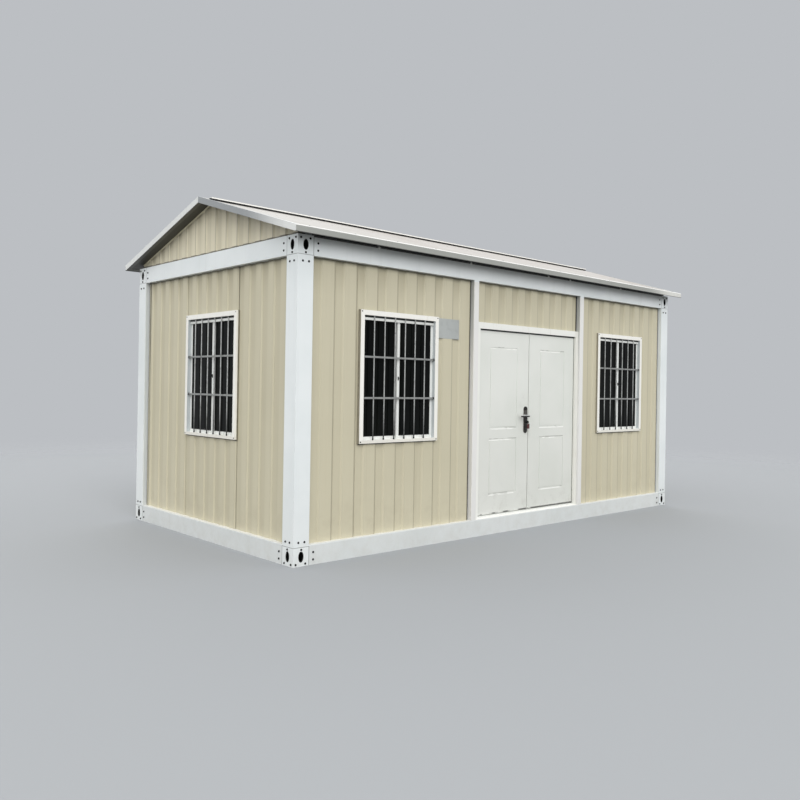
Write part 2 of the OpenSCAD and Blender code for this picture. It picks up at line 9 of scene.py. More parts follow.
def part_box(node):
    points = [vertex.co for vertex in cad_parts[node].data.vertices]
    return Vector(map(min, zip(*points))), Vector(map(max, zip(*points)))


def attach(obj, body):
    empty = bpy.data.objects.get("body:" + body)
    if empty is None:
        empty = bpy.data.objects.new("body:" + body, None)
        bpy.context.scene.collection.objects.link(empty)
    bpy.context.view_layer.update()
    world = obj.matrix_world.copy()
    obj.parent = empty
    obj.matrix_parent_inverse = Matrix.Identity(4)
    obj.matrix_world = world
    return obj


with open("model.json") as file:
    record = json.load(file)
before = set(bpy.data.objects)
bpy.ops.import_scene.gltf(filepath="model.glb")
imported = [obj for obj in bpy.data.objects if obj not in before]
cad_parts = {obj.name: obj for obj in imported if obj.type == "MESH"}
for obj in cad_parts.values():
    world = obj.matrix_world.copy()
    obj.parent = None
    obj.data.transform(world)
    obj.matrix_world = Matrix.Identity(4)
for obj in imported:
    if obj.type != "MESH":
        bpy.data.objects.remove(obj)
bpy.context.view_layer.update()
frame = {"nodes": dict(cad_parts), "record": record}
nodes = frame["nodes"]
scene = bpy.context.scene
scene.view_settings.view_transform = "Standard"
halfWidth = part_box("long_top_beams")[1].y
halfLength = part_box("end_top_beams")[1].x
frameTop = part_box("long_top_beams")[1].z
print("frame loaded:", len(nodes), "nodes")

# camera where the photograph was taken, worked out for an 800 x 800 picture
photoView = {
    "place": (-6.791, -6.986, 1.521),
    "yaw": 47.71,  # degrees from +X
    "pitch": 0.10,
    "roll": 0.93,
    "lens": 35.658,
    "shiftY": -0.018375,
}


def makeCamera():
    yaw, pitch, roll = (math.radians(photoView[k]) for k in ("yaw", "pitch", "roll"))
    ahead = Vector((math.cos(pitch) * math.cos(yaw), math.cos(pitch) * math.sin(yaw), math.sin(pitch)))
    level = Vector((math.sin(yaw), -math.cos(yaw), 0))
    rise = level.cross(ahead)
    right = level * math.cos(roll) + rise * math.sin(roll)
    up = rise * math.cos(roll) - level * math.sin(roll)
    lens = bpy.data.cameras.new("camera")
    lens.sensor_width = 36
    lens.lens = photoView["lens"]
    lens.shift_y = photoView["shiftY"]
    camera = bpy.data.objects.new("camera", lens)
    scene.collection.objects.link(camera)
    turn = Matrix((right, up, -ahead)).transposed().to_4x4()
    camera.matrix_world = Matrix.Translation(photoView["place"]) @ turn
    scene.camera = camera


makeCamera()
print("camera set")


# screen colour, 0 to 255, as the linear colour that a socket takes
def linear(colour):
    shares = (part / 255 for part in colour)
    return tuple(((s + 0.055) / 1.055) ** 2.4 if s > 0.04 else s / 12.92 for s in shares) + (1.0,)


class Wire:
    # a shader socket that takes its place in a Python sum
    def __init__(self, tree, socket=None):
        self.tree = tree
        self.socket = socket

    def join(self, value, target):
        if isinstance(value, Wire):
            self.tree.links.new(value.socket, target)
        else:
            target.default_value = value

    # any node: its type, its settings first, then what its sockets take
    def node(self, kind, settings=None, inputs=None, out=0):
        made = self.tree.nodes.new("ShaderNode" + kind)
        for name, value in (settings or {}).items():
            setattr(made, name, value)
        for name, value in (inputs or {}).items():
            self.join(value, made.inputs[name])
        return Wire(self.tree, made.outputs[out])

    def maths(self, operation, first, second=0.0):
        return self.node("Math", {"operation": operation}, {0: first, 1: second})

    def __add__(self, other):
        return self.maths("ADD", self, other)

    def __radd__(self, other):
        return self.maths("ADD", other, self)

    def __sub__(self, other):
        return self.maths("SUBTRACT", self, other)

    def __rsub__(self, other):
        return self.maths("SUBTRACT", other, self)

    def __mul__(self, other):
        return self.maths("MULTIPLY", self, other)

    def __rmul__(self, other):
        return self.maths("MULTIPLY", other, self)

    def __truediv__(self, other):
        return self.maths("DIVIDE", self, other)

    def __pow__(self, other):
        return self.maths("POWER", self, other)

    def __lt__(self, other):
        return self.maths("LESS_THAN", self, other)

    def __gt__(self, other):
        return self.maths("GREATER_THAN", self, other)

    def __abs__(self):
        return self.maths("ABSOLUTE", self)

    # distance to the nearest multiple of a pitch
    def ripple(self, pitch):
        return self.maths("PINGPONG", self, pitch / 2)

    def fade(self, low, high):
        return self.node("MapRange", {"interpolation_type": "SMOOTHSTEP"}, {0: self, 1: low, 2: high})

    # a line at the place: 1 up to one distance from it, 0 from another on
    def line(self, place, full, gone):
        return 1 - abs(self - place).fade(full, gone)

    # 0 to 1 made into a range about a middle
    def swing(self, middle, width):
        return self * width + (middle - width / 2)

    # from one colour to another: wires, screen colours of three parts or linear ones of four
    def tint(self, *colours):
        first, second = (c if isinstance(c, Wire) or len(c) == 4 else linear(c) for c in colours)
        return self.node("Mix", {"data_type": "RGBA"}, {0: self, 6: first, 7: second}, 2)

    def stretch(self, x, y, z):
        return self.node("VectorMath", {"operation": "MULTIPLY"}, {0: self, 1: (x, y, z)})

    def axis(self, name):
        return self.node("SeparateXYZ", None, {0: self}, name)

    def noise(self, scale, detail=3.0, rough=0.5):
        return self.node("TexNoise", None, {"Vector": self, "Scale": scale, "Detail": detail, "Roughness": rough})

    def bump(self, strength, distance):
        return self.node("Bump", None, {"Strength": strength, "Distance": distance, "Height": self})


# a material whose shader takes what the finish works out for each place on a surface
def makeMaterial(finish, *details):
    material = bpy.data.materials.new("_".join((finish.__name__, *details[-1:])))
    material.use_nodes = True
    shader = material.node_tree.nodes["Principled BSDF"]
    place = Wire(material.node_tree).node("TexCoord", out="Object")
    for name, value in finish(place, *details).items():
        place.join(value, shader.inputs[name])
    return material


# white enamel on the folded steel frame: a little dust by the ground, darker towards the bottom, dark seams; painted
# shade in the block hollows and round their slots, under the eave and on the posts' sides, and a painted highlight on
# the bottom beams' top ledges
frameLook = {
    "paint": (233, 238, 239),
    "cloud": (225, 231, 232),
    "streak": (203, 206, 203),
    "dust": (176, 172, 160),
    "dustTop": 0.34,
    "dull": (194, 196, 194),
    "seam": (92, 95, 94),
    # near black of the painted shade in the blocks, round the slots and under the eave
    "hollow": (14, 14, 14),
    "blockFace": 0.162,
    "blockWall": 0.0096,
    "blockHeights": ((0.0, 0.16), (2.619, 2.785)),
    "seamHalf": (0.001, 0.0042),  # dark to here, clear from there
    "postSeamHalf": (0.0008, 0.0036),
    "postSeamReach": 0.165,  # from the corner
    "slot": (0.027, 0.046),  # half width and half height of the painted shade round a slot
    "slotHeights": (0.08, 2.702),
    "slotDeep": 0.0106,
    # colour of the painted highlight on the bottom beams' top faces
    "ledgeHighlight": (238, 238, 235),
    "ledgeTop": 0.2,
    "beamTop": 0.162,  # bottom beams
    "dullFade": (0.16, 1.2),
    "eaveShadeBand": 0.011,  # painted shade along the top of the long beams, under the eave
    "eaveFade": 0.13,
    "doorPost": (229, 226, 222),
    "doorPostHeights": (0.17, 2.6),
    # painted shade on the door posts' sides and on the corner posts' sides facing the end walls
    "revealShade": (150, 153, 152),
    "revealFrom": 1.5,  # the door posts stand this far from the ends and more
    "revealFade": (1.5, 2.5),
    "revealDeep": 0.008,  # behind the frame's face
    "postBack": 0.05,
    "facing": 0.7,  # a face counts as facing an axis from this part of its normal
    "rough": 0.36,
}


def framePaint(place):
    look = frameLook
    height = place.axis("Z")
    inX, inY = halfLength - abs(place.axis("X")), halfWidth - abs(place.axis("Y"))
    cloud = place.noise(1.7, 4.0)
    streak = place.stretch(16, 16, 0.7).noise(1.0, 3.0).fade(0.56, 0.8)
    dust = (1 - height.fade(0.0, look["dustTop"])) * place.noise(9.0, 6.0, 0.65).fade(0.34, 0.75)
    atCorner = (inX < look["postSeamReach"]) * (inY < look["postSeamReach"])
    seam, hollow = 0.0, 0.0
    # dark seams, and painted shade inside the hollow corner blocks
    for low, high in look["blockHeights"]:
        inner = high if low == 0 else low  # where the post meets the block
        beside = (height > low) * (height < high)
        deep = (height > low + look["blockWall"]) * (height < high - look["blockWall"])
        for reach in (inX, inY):
            seam = seam + reach.line(look["blockFace"], *look["seamHalf"]) * beside
            deep = deep * (reach > look["blockWall"]) * (reach < look["blockFace"] - look["blockWall"])
        seam = seam + height.line(inner, *look["postSeamHalf"]) * atCorner
        hollow = hollow + deep
    halfSlot, tallSlot = look["slot"]
    # painted shade in ovals round the slots, wider than the slots
    for middle in look["slotHeights"]:
        for reach, along in ((inX, inY), (inY, inX)):
            oval = ((along - look["blockFace"] / 2) / halfSlot) ** 2.0 + ((height - middle) / tallSlot) ** 2.0
            hollow = hollow + (reach < look["slotDeep"]) * (oval < 1.0)
    colour = cloud.fade(0.35, 0.7).tint(look["paint"], look["cloud"])
    colour = (streak * 0.22).tint(colour, look["streak"])
    normal = place.node("TexCoord", out="Normal")
    facesX, facesY = (abs(normal.axis(a)) > look["facing"] for a in "XY")
    ledgeHighlight = (normal.axis("Z") > look["facing"]) * (height < look["ledgeTop"])
    postLow, postHigh = look["doorPostHeights"]
    atDoor = inX > look["revealFrom"]
    colour = (atDoor * (height > postLow) * (height < postHigh) * 0.7).tint(colour, look["doorPost"])
    # painted shade on the door posts' sides, deeper higher up, and on the corner posts' sides facing the end walls
    revealShade = facesX * atDoor * (inY > look["revealDeep"]) * (height.fade(*look["revealFade"]) * 0.85 + 0.15)
    revealShade = revealShade + facesY * (inY > look["postBack"]) * (inX > look["revealDeep"]) * 0.5
    dullBeam = (height < look["beamTop"]) * (1 - atCorner)
    dull = (1 - height.fade(*look["dullFade"])) * 0.16 + dullBeam * 0.33  # posts a little, bottom beams most
    colour = dull.tint(colour, look["dull"])
    # painted highlight on the top faces of the bottom beams
    colour = (ledgeHighlight * 0.8).tint(colour, look["ledgeHighlight"])
    colour = (revealShade * 0.75).tint(colour, look["revealShade"])
    # painted shade under the eave: a dark band along the top of the long beams, and a gradient below it
    eaveShade = (height > frameTop - look["eaveShadeBand"]) * 0.75
    eaveShade = eaveShade + height.fade(frameTop - look["eaveFade"], frameTop) * 0.14
    colour = (eaveShade * facesY * (inX > look["blockFace"])).tint(colour, look["hollow"])
    colour = (dust * 0.22).tint(colour, look["dust"])
    colour = (seam * 0.75).tint(colour, look["seam"])
    # painted shade, near black, in the blocks and round the slots
    colour = hollow.tint(colour, look["hollow"])
    peel = place.noise(240.0, 2.0) * 0.25 + place.noise(2.2, 2.0)
    return {
        "Base Color": colour,
        "Roughness": cloud.swing(look["rough"], 0.14) + dust * 0.25 + hollow * 0.6,
        "Normal": peel.bump(0.22, 0.004),
    }


# beige coated steel facing outside, paler facing inside the room; painted shade under the top beams, in the rib
# creases and ribs and at the gables' foot, painted shadow gaps beside the corner posts, and the gables painted
# lighter against the shade under the roof
panelLook = {
    "paint": (202, 196, 172),
    # colour of the rain streaks and of the painted shade under the top beams and in the ribs
    "streak": (170, 163, 138),
    "dust": (176, 168, 146),
    # colour of the painted shade in the rib creases
    "creaseShade": (112, 106, 88),
    # dark colour of the painted shade under the beams and at the gables' foot, of the painted shadow gaps and of the
    # joints
    "underBeam": (70, 67, 56),
    "inside": (219, 219, 211),
    "insideX": 2.887,  # the inner faces lie closer to the middle than this
    "insideY": 1.417,
    "ribWidth": 0.11,
    "ribFade": (0.03, 0.075),  # from the rib's middle
    "creaseIn": 0.003,
    "creaseHalf": (0.003, 0.0085),
    "wallTop": 2.7,  # the gables are above it
    "beamShadeFade": (2.59, 2.614),  # painted shade under the top beams
    "ribTopFade": (2.3, 2.6),
    "darkeningFade": (2.2, 2.62),
    "splashFade": (0.17, 0.75),
    "rough": 0.44,
    # axis to the right as seen from outside, its sign, a rib's left edge along it, pitch, painted crease shade,
    # painted shade in the rib
    "ribs": {
        "front_left_wall": ("X", 1, -1.829, 0.247, 0.42, 0.1),
        "front_right_wall": ("X", 1, 1.9245, 0.227, 0.42, 0.1),
        "over_door_panel": ("X", 1, 0.0515, 0.219, 0.36, 0.1),
        "back_wall": ("X", -1, -0.015, 0.247, 0.42, 0.1),
        "left_end_wall": ("Y", -1, -0.097, 0.2, 0.08, 0.18),
        "right_end_wall": ("Y", 1, -0.097, 0.2, 0.08, 0.18),
        "left_gable_panel": ("Y", -1, -0.097, 0.2, 0.4, 0.2),
        "right_gable_panel": ("Y", 1, -0.097, 0.2, 0.4, 0.2),
    },
    "joints": {  # place, darkness, half width; the wide lines beside the corner posts are painted shadow gaps, the others dark panel joints
        "front_right_wall": ((2.829, 0.85, 0.008),),
        "left_end_wall": ((-1.331, 0.95, 0.0115), (-0.4835, 0.2, 0.006), (0.5165, 0.6, 0.006)),
        "right_end_wall": ((-0.4835, 0.6, 0.006), (0.5165, 0.2, 0.006), (1.331, 0.95, 0.0115)),
    },
    "jointFade": (1.4, 2.2),
    # lighter than the walls' paint: painted light against the shade under the roof
    "gable": (223, 216, 192),
    "footLine": 2.808,  # painted shade on the gables up to here, above the end beams
    "soft": 0.002,  # edges of the dark lines
}


def panelPaint(place, node):
    look = panelLook
    axis, sign, ribEdge, pitch, creaseDepth, ribShade = look["ribs"][node]
    x, y, height = place.axis("X"), place.axis("Y"), place.axis("Z")
    across = place.axis(axis) * sign
    inside = (abs(x) < look["insideX"]) * (abs(y) < look["insideY"])
    onWall, soft = height < look["wallTop"], look["soft"]
    creaseShade = 1 - (across - ribEdge + look["creaseIn"]).ripple(pitch).fade(*look["creaseHalf"])
    rib = 1 - (across - ribEdge - look["ribWidth"] / 2).ripple(pitch).fade(*look["ribFade"])
    cloud = place.noise(0.9, 4.0)
    streak = place.stretch(22, 22, 0.5).noise(1.0, 4.0, 0.6).fade(0.52, 0.82)
    # painted shade under the top beams, patchy
    beamShadeNoise = height.fade(*look["darkeningFade"]) * place.stretch(9, 9, 0.4).noise(1.0, 3.0).fade(0.35, 0.75)
    splash = (1 - height.fade(*look["splashFade"])) * place.noise(7.0, 6.0, 0.65).fade(0.4, 0.75)
    # painted shade just under the top beams
    beamShadeLine = height.fade(*look["beamShadeFade"]) * onWall
    footLine = (1 - onWall) * (1 - height.fade(look["footLine"] - soft, look["footLine"] + soft))
    joint = 0.0
    # painted shadow gaps beside the corner posts and dark panel joints, darker higher up
    for spot, dirt, half in look["joints"].get(node, ()):
        line = across.line(spot, half - soft, half + soft) * dirt
        joint = joint + line * (height.fade(*look["jointFade"]) * 0.4 + 0.6)
    ribShade = height.fade(*look["ribTopFade"]) * onWall * 0.4 + ribShade
    # the gables take the lighter paint, painted light against the shade under the roof
    paint = look["gable"] if "gable" in node else look["paint"]
    colour = cloud.fade(0.3, 0.72).tint(paint, [part - 6 for part in paint])
    # rain streaks, with painted shade under the top beams and in the ribs, towards the streak colour
    colour = (streak * 0.16 + beamShadeNoise * 0.22 + rib * ribShade).tint(colour, look["streak"])
    colour = (splash * 0.3).tint(colour, look["dust"])
    uneven = place.stretch(4, 4, 1.4).noise(1.0, 3.0) * 0.6 + 0.7
    # painted shade in the rib creases, uneven along them
    colour = (creaseShade * uneven * creaseDepth).tint(colour, look["creaseShade"])
    # painted shade under the top beams and at the gables' foot, painted shadow gaps beside the corner posts, and dark
    # panel joints, in one dark colour
    colour = (beamShadeLine * 0.75 + footLine * 0.85 + joint).tint(colour, look["underBeam"])
    colour = inside.tint(colour, look["inside"])
    grain = place.noise(190.0, 2.0) * 0.3 + place.stretch(3, 3, 0.5).noise(1.0, 2.0)
    return {
        "Base Color": colour,
        "Roughness": cloud.swing(look["rough"], 0.16) + splash * 0.2,
        "Normal": grain.bump(0.25, 0.004),
    }


# off-white paint on the pressed steel leaves, with painted shadow in the gaps round them and painted shade and
# highlight along the pressed lines
doorLook = {
    "paint": (226, 228, 223),
    "cloud": (219, 222, 216),
    "scuff": (176, 174, 166),
    "handleAt": (0.077, 1.2),  # x and height of the handle
    # near black of the painted shadow in the gaps round the leaves
    "gap": (14, 14, 13),
    "face": 0.0475,  # the leaves' outer face lies no deeper than this
    "rightEdge": 0.9645,
    "lowEdge": 0.201,
    "lintelEdge": 2.135,
    "fields": (-0.29425, 0.54825),  # their middles
    "fieldHalf": 0.2225,
    "pressed": (0.4072, 0.9848, 1.0996, 1.9515),  # heights of the fields' edges
    "pressShade": (128, 128, 124),
    "pressHighlight": (255, 255, 252),
    "darkAt": (0.004, 0.002, 0.005),  # painted shade line above an edge: full to here from its middle, gone from there
    # painted highlight line below an edge, the same way
    "lightAt": (-0.009, 0.004, 0.007),
    "gapWide": (0.016, 0.013),  # width of the painted shadow under the lintel, and at the other sides
    "kickFade": (0.2, 0.62),
    "dullFade": (0.4, 1.7),
    "rough": 0.38,
}


def doorPaint(place):
    look = doorLook
    x, height = place.axis("X"), place.axis("Z")
    cloud = place.noise(1.4, 4.0)
    kick = (1 - height.fade(*look["kickFade"])) * place.noise(11.0, 6.0, 0.7).fade(0.45, 0.78)
    scratch = place.stretch(3, 3, 42).noise(2.0, 5.0, 0.7).fade(0.66, 0.76)
    handleX, handleZ = look["handleAt"]
    handleFar = (x - handleX) ** 2.0 + (height - handleZ) ** 2.0 * 0.3
    grubby = (1 - handleFar.fade(0.0, 0.035)) * place.noise(14.0, 5.0).fade(0.4, 0.8)
    colour = cloud.fade(0.3, 0.7).tint(look["paint"], look["cloud"])
    dull = (1 - height.fade(*look["dullFade"])) * 0.16
    colour = (kick * 0.3 + scratch * 0.1 + grubby * 0.28 + dull).tint(colour, look["scuff"])
    darkUp, *darkHalf = look["darkAt"]
    lightUp, *lightHalf = look["lightAt"]
    pressShadeLine, pressHighlightLine = 0.0, 0.0
    patchy = place.stretch(7, 1, 40).noise(1.0, 2.0)
    darkPatch, lightPatch = patchy.fade(0.44, 0.54), 1 - patchy.fade(0.46, 0.56)
    for middle in look["fields"]:
        within = abs(x - middle) < look["fieldHalf"]
        for edge in look["pressed"]:
            pressShadeLine = pressShadeLine + within * height.line(edge + darkUp, *darkHalf) * darkPatch
            pressHighlightLine = pressHighlightLine + within * height.line(edge + lightUp, *lightHalf) * lightPatch
    # painted highlight and painted shade along the pressed lines
    colour = (pressHighlightLine * 0.75).tint(colour, look["pressHighlight"])
    colour = (pressShadeLine * 0.55).tint(colour, look["pressShade"])
    # painted shadow in the gaps under the lintel, by the right edge and, broken, at the foot
    topGap, sideGap = look["gapWide"]
    broken = place.stretch(5, 1, 1).noise(1.0, 2.0).fade(0.4, 0.5)
    gap = (height > look["lintelEdge"] - topGap) * 0.95 + (x > look["rightEdge"] - sideGap) * 0.8
    gap = gap + (height < look["lowEdge"] + sideGap) * broken * 0.8
    outer = place.axis("Y") + halfWidth < look["face"]
    colour = (gap * outer).tint(colour, look["gap"])
    peel = place.noise(260.0, 2.0) * 0.2 + place.noise(2.6, 2.0)
    return {
        "Base Color": colour,
        "Roughness": cloud.swing(look["rough"], 0.14) + kick * 0.2,
        "Normal": peel.bump(0.2, 0.004),
    }


# warm white enamel of the casings and the door frame, rain marks down it, darker at the foot of the window casings
# and on the door's right jamb; painted shade on the sides that face into the openings and on the front casings' outer
# sides
casingLook = {
    "window": (243, 242, 236),
    "door": (236, 237, 232),
    "mark": (214, 211, 200),
    "sill": 1.031,
    "rightJamb": 0.94,  # darker than the left one
    "revealShade": (192, 198, 199),  # painted shade on the sides that face into the opening
    # painted shade on the front casings' outer sides
    "outer": (150, 145, 130),
    "facing": 0.3,  # least distance from the casing's middle, in or out along a face's normal
    "rough": 0.345,
}


def casingPaint(place, use, node=None):
    cloud = place.noise(3.0, 4.0)
    mark = place.stretch(34, 34, 1.2).noise(1.0, 4.0, 0.6).fade(0.56, 0.8) * 0.4 + cloud.fade(0.55, 0.85) * 0.25
    if use == "window":
        mark = mark + (place.axis("Z") < casingLook["sill"]) * 0.5
    else:
        mark = mark + (place.axis("X") > casingLook["rightJamb"]) * 0.4
    colour = mark.tint(casingLook[use], casingLook["mark"])
    if node:
        low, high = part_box(node)
        middle = (low + high) / 2
        normal = place.node("TexCoord", out="Normal")
        outX, outY = ((place.axis(a) - middle["XY".index(a)]) * normal.axis(a) for a in "XY")
        # painted shade on the sides facing into the opening, and on the front casings' outer sides
        colour = (outX + outY < -casingLook["facing"]).tint(colour, casingLook["revealShade"])
        colour = (outX > casingLook["facing"]).tint(colour, casingLook["outer"])
    return {
        "Base Color": colour,
        "Roughness": cloud.swing(casingLook["rough"], 0.15),
        "Normal": (place.noise(220.0, 2.0) * 0.2 + cloud).bump(0.15, 0.003),
    }


# white extruded sash profiles, a little grey in the corners of the tracks
sashLook = {"plastic": (232, 234, 231), "grime": (186, 184, 174), "darkeningFade": (1.04, 1.16), "rough": 0.33}


def sashPlastic(place):
    cloud = place.noise(6.0, 4.0)
    low = 1 - place.axis("Z").fade(*sashLook["darkeningFade"])
    grime = low * place.noise(30.0, 5.0, 0.65).fade(0.42, 0.7) + cloud.fade(0.58, 0.85) * 0.3
    drawn = place.stretch(400, 400, 2).noise(1.0, 2.0)
    return {
        "Base Color": (grime * 0.45).tint(sashLook["plastic"], sashLook["grime"]),
        "Roughness": cloud.swing(sashLook["rough"], 0.16),
        "Normal": drawn.bump(0.08, 0.0008),
    }


# nearly opaque dark glass, painted shade for the unlit room behind it, with a film of dust that thickens towards the
# sill
glassLook = {"tint": (10, 12, 11), "dust": (48, 51, 47), "dustFade": (1.05, 1.5), "clear": 0.955, "rough": 0.03}


def windowGlass(place):
    wipe = place.stretch(3, 3, 0.8).noise(1.0, 4.0, 0.55)
    film = (1 - place.axis("Z").fade(*glassLook["dustFade"])) * 0.25 + wipe.fade(0.5, 0.85) * 0.45
    return {
        # near black: painted shade of the room behind the glass, under the dust film
        "Base Color": (film * 0.25).tint(glassLook["tint"], glassLook["dust"]),
        "Roughness": film * 0.12 + glassLook["rough"],
        "Alpha": film * 0.06 + glassLook["clear"],
        "Specular IOR Level": 0.08,
    }


# pale roof sheet: seams and rain streaks down the slope, stained along the ridge's middle, a painted highlight along
# the eaves and on the folded edges by the ridge, painted shade underneath
roofLook = {
    "paint": (190, 187, 180),
    "streak": (170, 160, 151),
    "stained": (0.5, 1.3, 3.5),  # middle along the ridge, half width, and where it ends
    # painted highlight in a narrow band along the eaves
    "eave": (205, 205, 202),
    "eaveFade": (1.575, 1.581),
    "edge": (250, 249, 244),  # painted highlight on the folded edges along the ridge
    "edgeTo": 0.25,
    # painted shade on the underside
    "under": (54, 53, 45),
    "seam": (140, 138, 132),
    "seamPitch": 0.96,
    "seamHalf": 0.006,
    "foldHalf": 0.02,
    "rough": 0.4,
}


def roofSheet(place):
    up = place.node("TexCoord", out="Normal").axis("Z")
    x = place.axis("X")
    seam = 1 - x.ripple(roofLook["seamPitch"]).fade(0.0, roofLook["seamHalf"])
    streak = place.stretch(9, 0.7, 0.7).noise(1.0, 5.0, 0.6).fade(0.5, 0.82)
    cloud = place.noise(1.3, 4.0)
    middle, flat, end = roofLook["stained"]
    stain = x.line(middle, flat, end)
    dirt = streak * 0.35 + cloud.fade(0.45, 0.8) * 0.2 + stain * 0.45
    colour = dirt.tint(roofLook["paint"], roofLook["streak"])
    out = abs(place.axis("Y"))
    # painted highlight along the eaves
    colour = out.fade(*roofLook["eaveFade"]).tint(colour, roofLook["eave"])
    # painted highlight on the folded edges by the ridge
    colour = ((abs(up) < 0.5) * (out < roofLook["edgeTo"])).tint(colour, roofLook["edge"])
    colour = (seam * 0.5).tint(colour, roofLook["seam"])
    # painted shade on the underside
    colour = (up < -0.3).tint(colour, roofLook["under"])
    relief = x.ripple(roofLook["seamPitch"]).fade(0.0, roofLook["foldHalf"]) + place.noise(3.0, 2.0) * 0.4
    return {
        "Base Color": colour,
        "Roughness": cloud.swing(roofLook["rough"], 0.2),
        "Normal": relief.bump(0.3, 0.004),
    }


# pale grey folded trims: painted shade on the gables' front halves towards the ridge; the eaves grey all along,
# lighter towards their right end, with a painted highlight along their top edge and dark along their lower edge;
# painted shade underneath
trimLook = {
    "gable": (224, 226, 224),
    "dullGable": (152, 156, 158),
    # painted shade on the undersides
    "under": (62, 60, 50),
    "eave": (159, 161, 156),
    "eaveEnd": (216, 216, 211),
    "grime": (120, 120, 115),
    "dripEdge": (46, 46, 44),
    "dripFade": (2.773, 2.776),  # the eave trims' lower edge is dark up to here
    "topHighlight": (252, 252, 249),
    "topAbove": 2.8215,
    "dullFade": (-1.6, -0.8),
    "endFade": (2.2, 2.95),
    "rough": 0.36,
}


def trimPaint(place, node):
    look = trimLook
    y, height = place.axis("Y"), place.axis("Z")
    cloud = place.noise(2.4, 4.0)
    drip = place.stretch(26, 26, 1.6).noise(1.0, 4.0, 0.6).fade(0.55, 0.85)
    dent = place.stretch(1.6, 1.6, 5).noise(1.0, 2.0)
    if node == "gable_trims":
        # painted shade on the gables' front halves, towards the ridge
        colour = (y.fade(*look["dullFade"]) * (y < 0)).tint(look["gable"], look["dullGable"])
    else:
        colour = place.axis("X").fade(*look["endFade"]).tint(look["eave"], look["eaveEnd"])
        # painted highlight along the eave trims' top edge
        colour = (height > look["topAbove"]).tint(colour, look["topHighlight"])
    colour = (drip * 0.2 + cloud.fade(0.5, 0.8) * 0.1).tint(colour, look["grime"])
    # painted shade on the undersides
    below = place.node("TexCoord", out="Normal").axis("Z") < -0.3
    colour = (below * 0.95).tint(colour, look["under"])
    dripEdge = 1 - height.fade(*look["dripFade"])
    return {
        "Base Color": (dripEdge * 0.85).tint(colour, look["dripEdge"]),
        "Roughness": cloud.swing(look["rough"], 0.16),
        "Normal": dent.bump(0.3, 0.004),
    }


# zinc coated steel of the hinges, joists, eave rails, cleats and roof screws
zincLook = {"bright": (172, 174, 174), "dull": (128, 130, 130), "rough": 0.42}


def zincSteel(place):
    spangle = place.node("TexVoronoi", None, {"Vector": place, "Scale": 120.0}, "Color").axis("X")
    cloud = place.noise(18.0, 4.0)
    return {
        "Base Color": (spangle * 0.5 + cloud * 0.5).tint(zincLook["dull"], zincLook["bright"]),
        "Metallic": 0.75,
        "Roughness": spangle.swing(zincLook["rough"], 0.14),
        "Normal": cloud.bump(0.1, 0.001),
    }


# dark plated metal of the lever and its plates, worn bright where hands touch, with a painted highlight band over the
# lever and a painted reflection above it
handleLook = {
    "plating": (58, 56, 54),
    # colour of the wear and of the painted reflection above the lever
    "worn": (126, 122, 115),
    "bright": (240, 240, 236),
    "glintAt": (1.2315, 0.0045),  # height of the painted highlight band over the lever, and half its width
    "sheenAt": (1.262, 0.022),  # the same of the painted reflection above it
    "rough": 0.34,
}


def handleMetal(place):
    brushed = place.stretch(900, 900, 30).noise(1.0, 2.0)
    worn = place.noise(38.0, 4.0).fade(0.5, 0.78)
    glintBand, sheenField = (abs(place.axis("Z") - handleLook[k][0]) < handleLook[k][1] for k in ("glintAt", "sheenAt"))
    # wear, and a painted reflection above the lever, in the worn colour
    colour = (worn * 0.7 + sheenField * 0.5).tint(handleLook["plating"], handleLook["worn"])
    return {
        # painted highlight band over the lever
        "Base Color": glintBand.tint(colour, handleLook["bright"]),
        "Metallic": 0.85,
        "Roughness": brushed.swing(handleLook["rough"], 0.16),
        "Normal": brushed.bump(0.12, 0.0006),
    }


# sealed board laid as planks along the room
floorLook = {
    "light": (168, 146, 116),
    "dark": (128, 106, 80),
    "joint": (70, 58, 45),
    "jointHalf": 0.0022,
    "width": 0.15,
    "length": 1.2,
    "stagger": 0.37,  # share of the length from row to row
    "rough": 0.4,
}


def floorBoard(place):
    look = floorLook
    y, width, length = place.axis("Y"), look["width"], look["length"]
    row = place.maths("FLOOR", y / width)
    along = place.axis("X") + place.maths("FRACT", row * look["stagger"]) * length
    plank = place.maths("FLOOR", along / length)
    seed = place.node("CombineXYZ", None, {0: plank, 1: row})
    tone = place.node("TexWhiteNoise", {"noise_dimensions": "3D"}, {"Vector": seed}, "Value")
    offset = place.node("VectorMath", {"operation": "ADD"}, {0: place.stretch(1.4, 22, 1), 1: seed.stretch(7, 3, 0)})
    grain = offset.noise(1.6, 6.0, 0.6)
    joint = 1 - y.ripple(width).fade(0.0, look["jointHalf"]) * along.ripple(length).fade(0.0, look["jointHalf"])
    colour = (grain.fade(0.3, 0.72) * 0.75 + tone * 0.3).tint(look["light"], look["dark"])
    return {
        "Base Color": joint.tint(colour, look["joint"]),
        "Roughness": grain.swing(look["rough"], 0.2),
        "Normal": (grain * 0.3 - joint).bump(0.3, 0.0015),
    }


# white ceiling facing with a seam every panel width
ceilingLook = {"paint": (236, 236, 231), "seam": (176, 176, 170), "pitch": 0.94, "seamHalf": 0.004, "rough": 0.475}


def ceilingFacing(place):
    cloud = place.noise(1.1, 4.0)
    seam = 1 - place.axis("X").ripple(ceilingLook["pitch"]).fade(0.0, ceilingLook["seamHalf"])
    colour = (cloud.fade(0.45, 0.8) * 0.2).tint(ceilingLook["paint"], ceilingLook["seam"])
    return {
        "Base Color": seam.tint(colour, ceilingLook["seam"]),
        "Roughness": cloud.swing(ceilingLook["rough"], 0.15),
        "Normal": (place.noise(200.0, 2.0) * 0.3 - seam).bump(0.2, 0.002),
    }


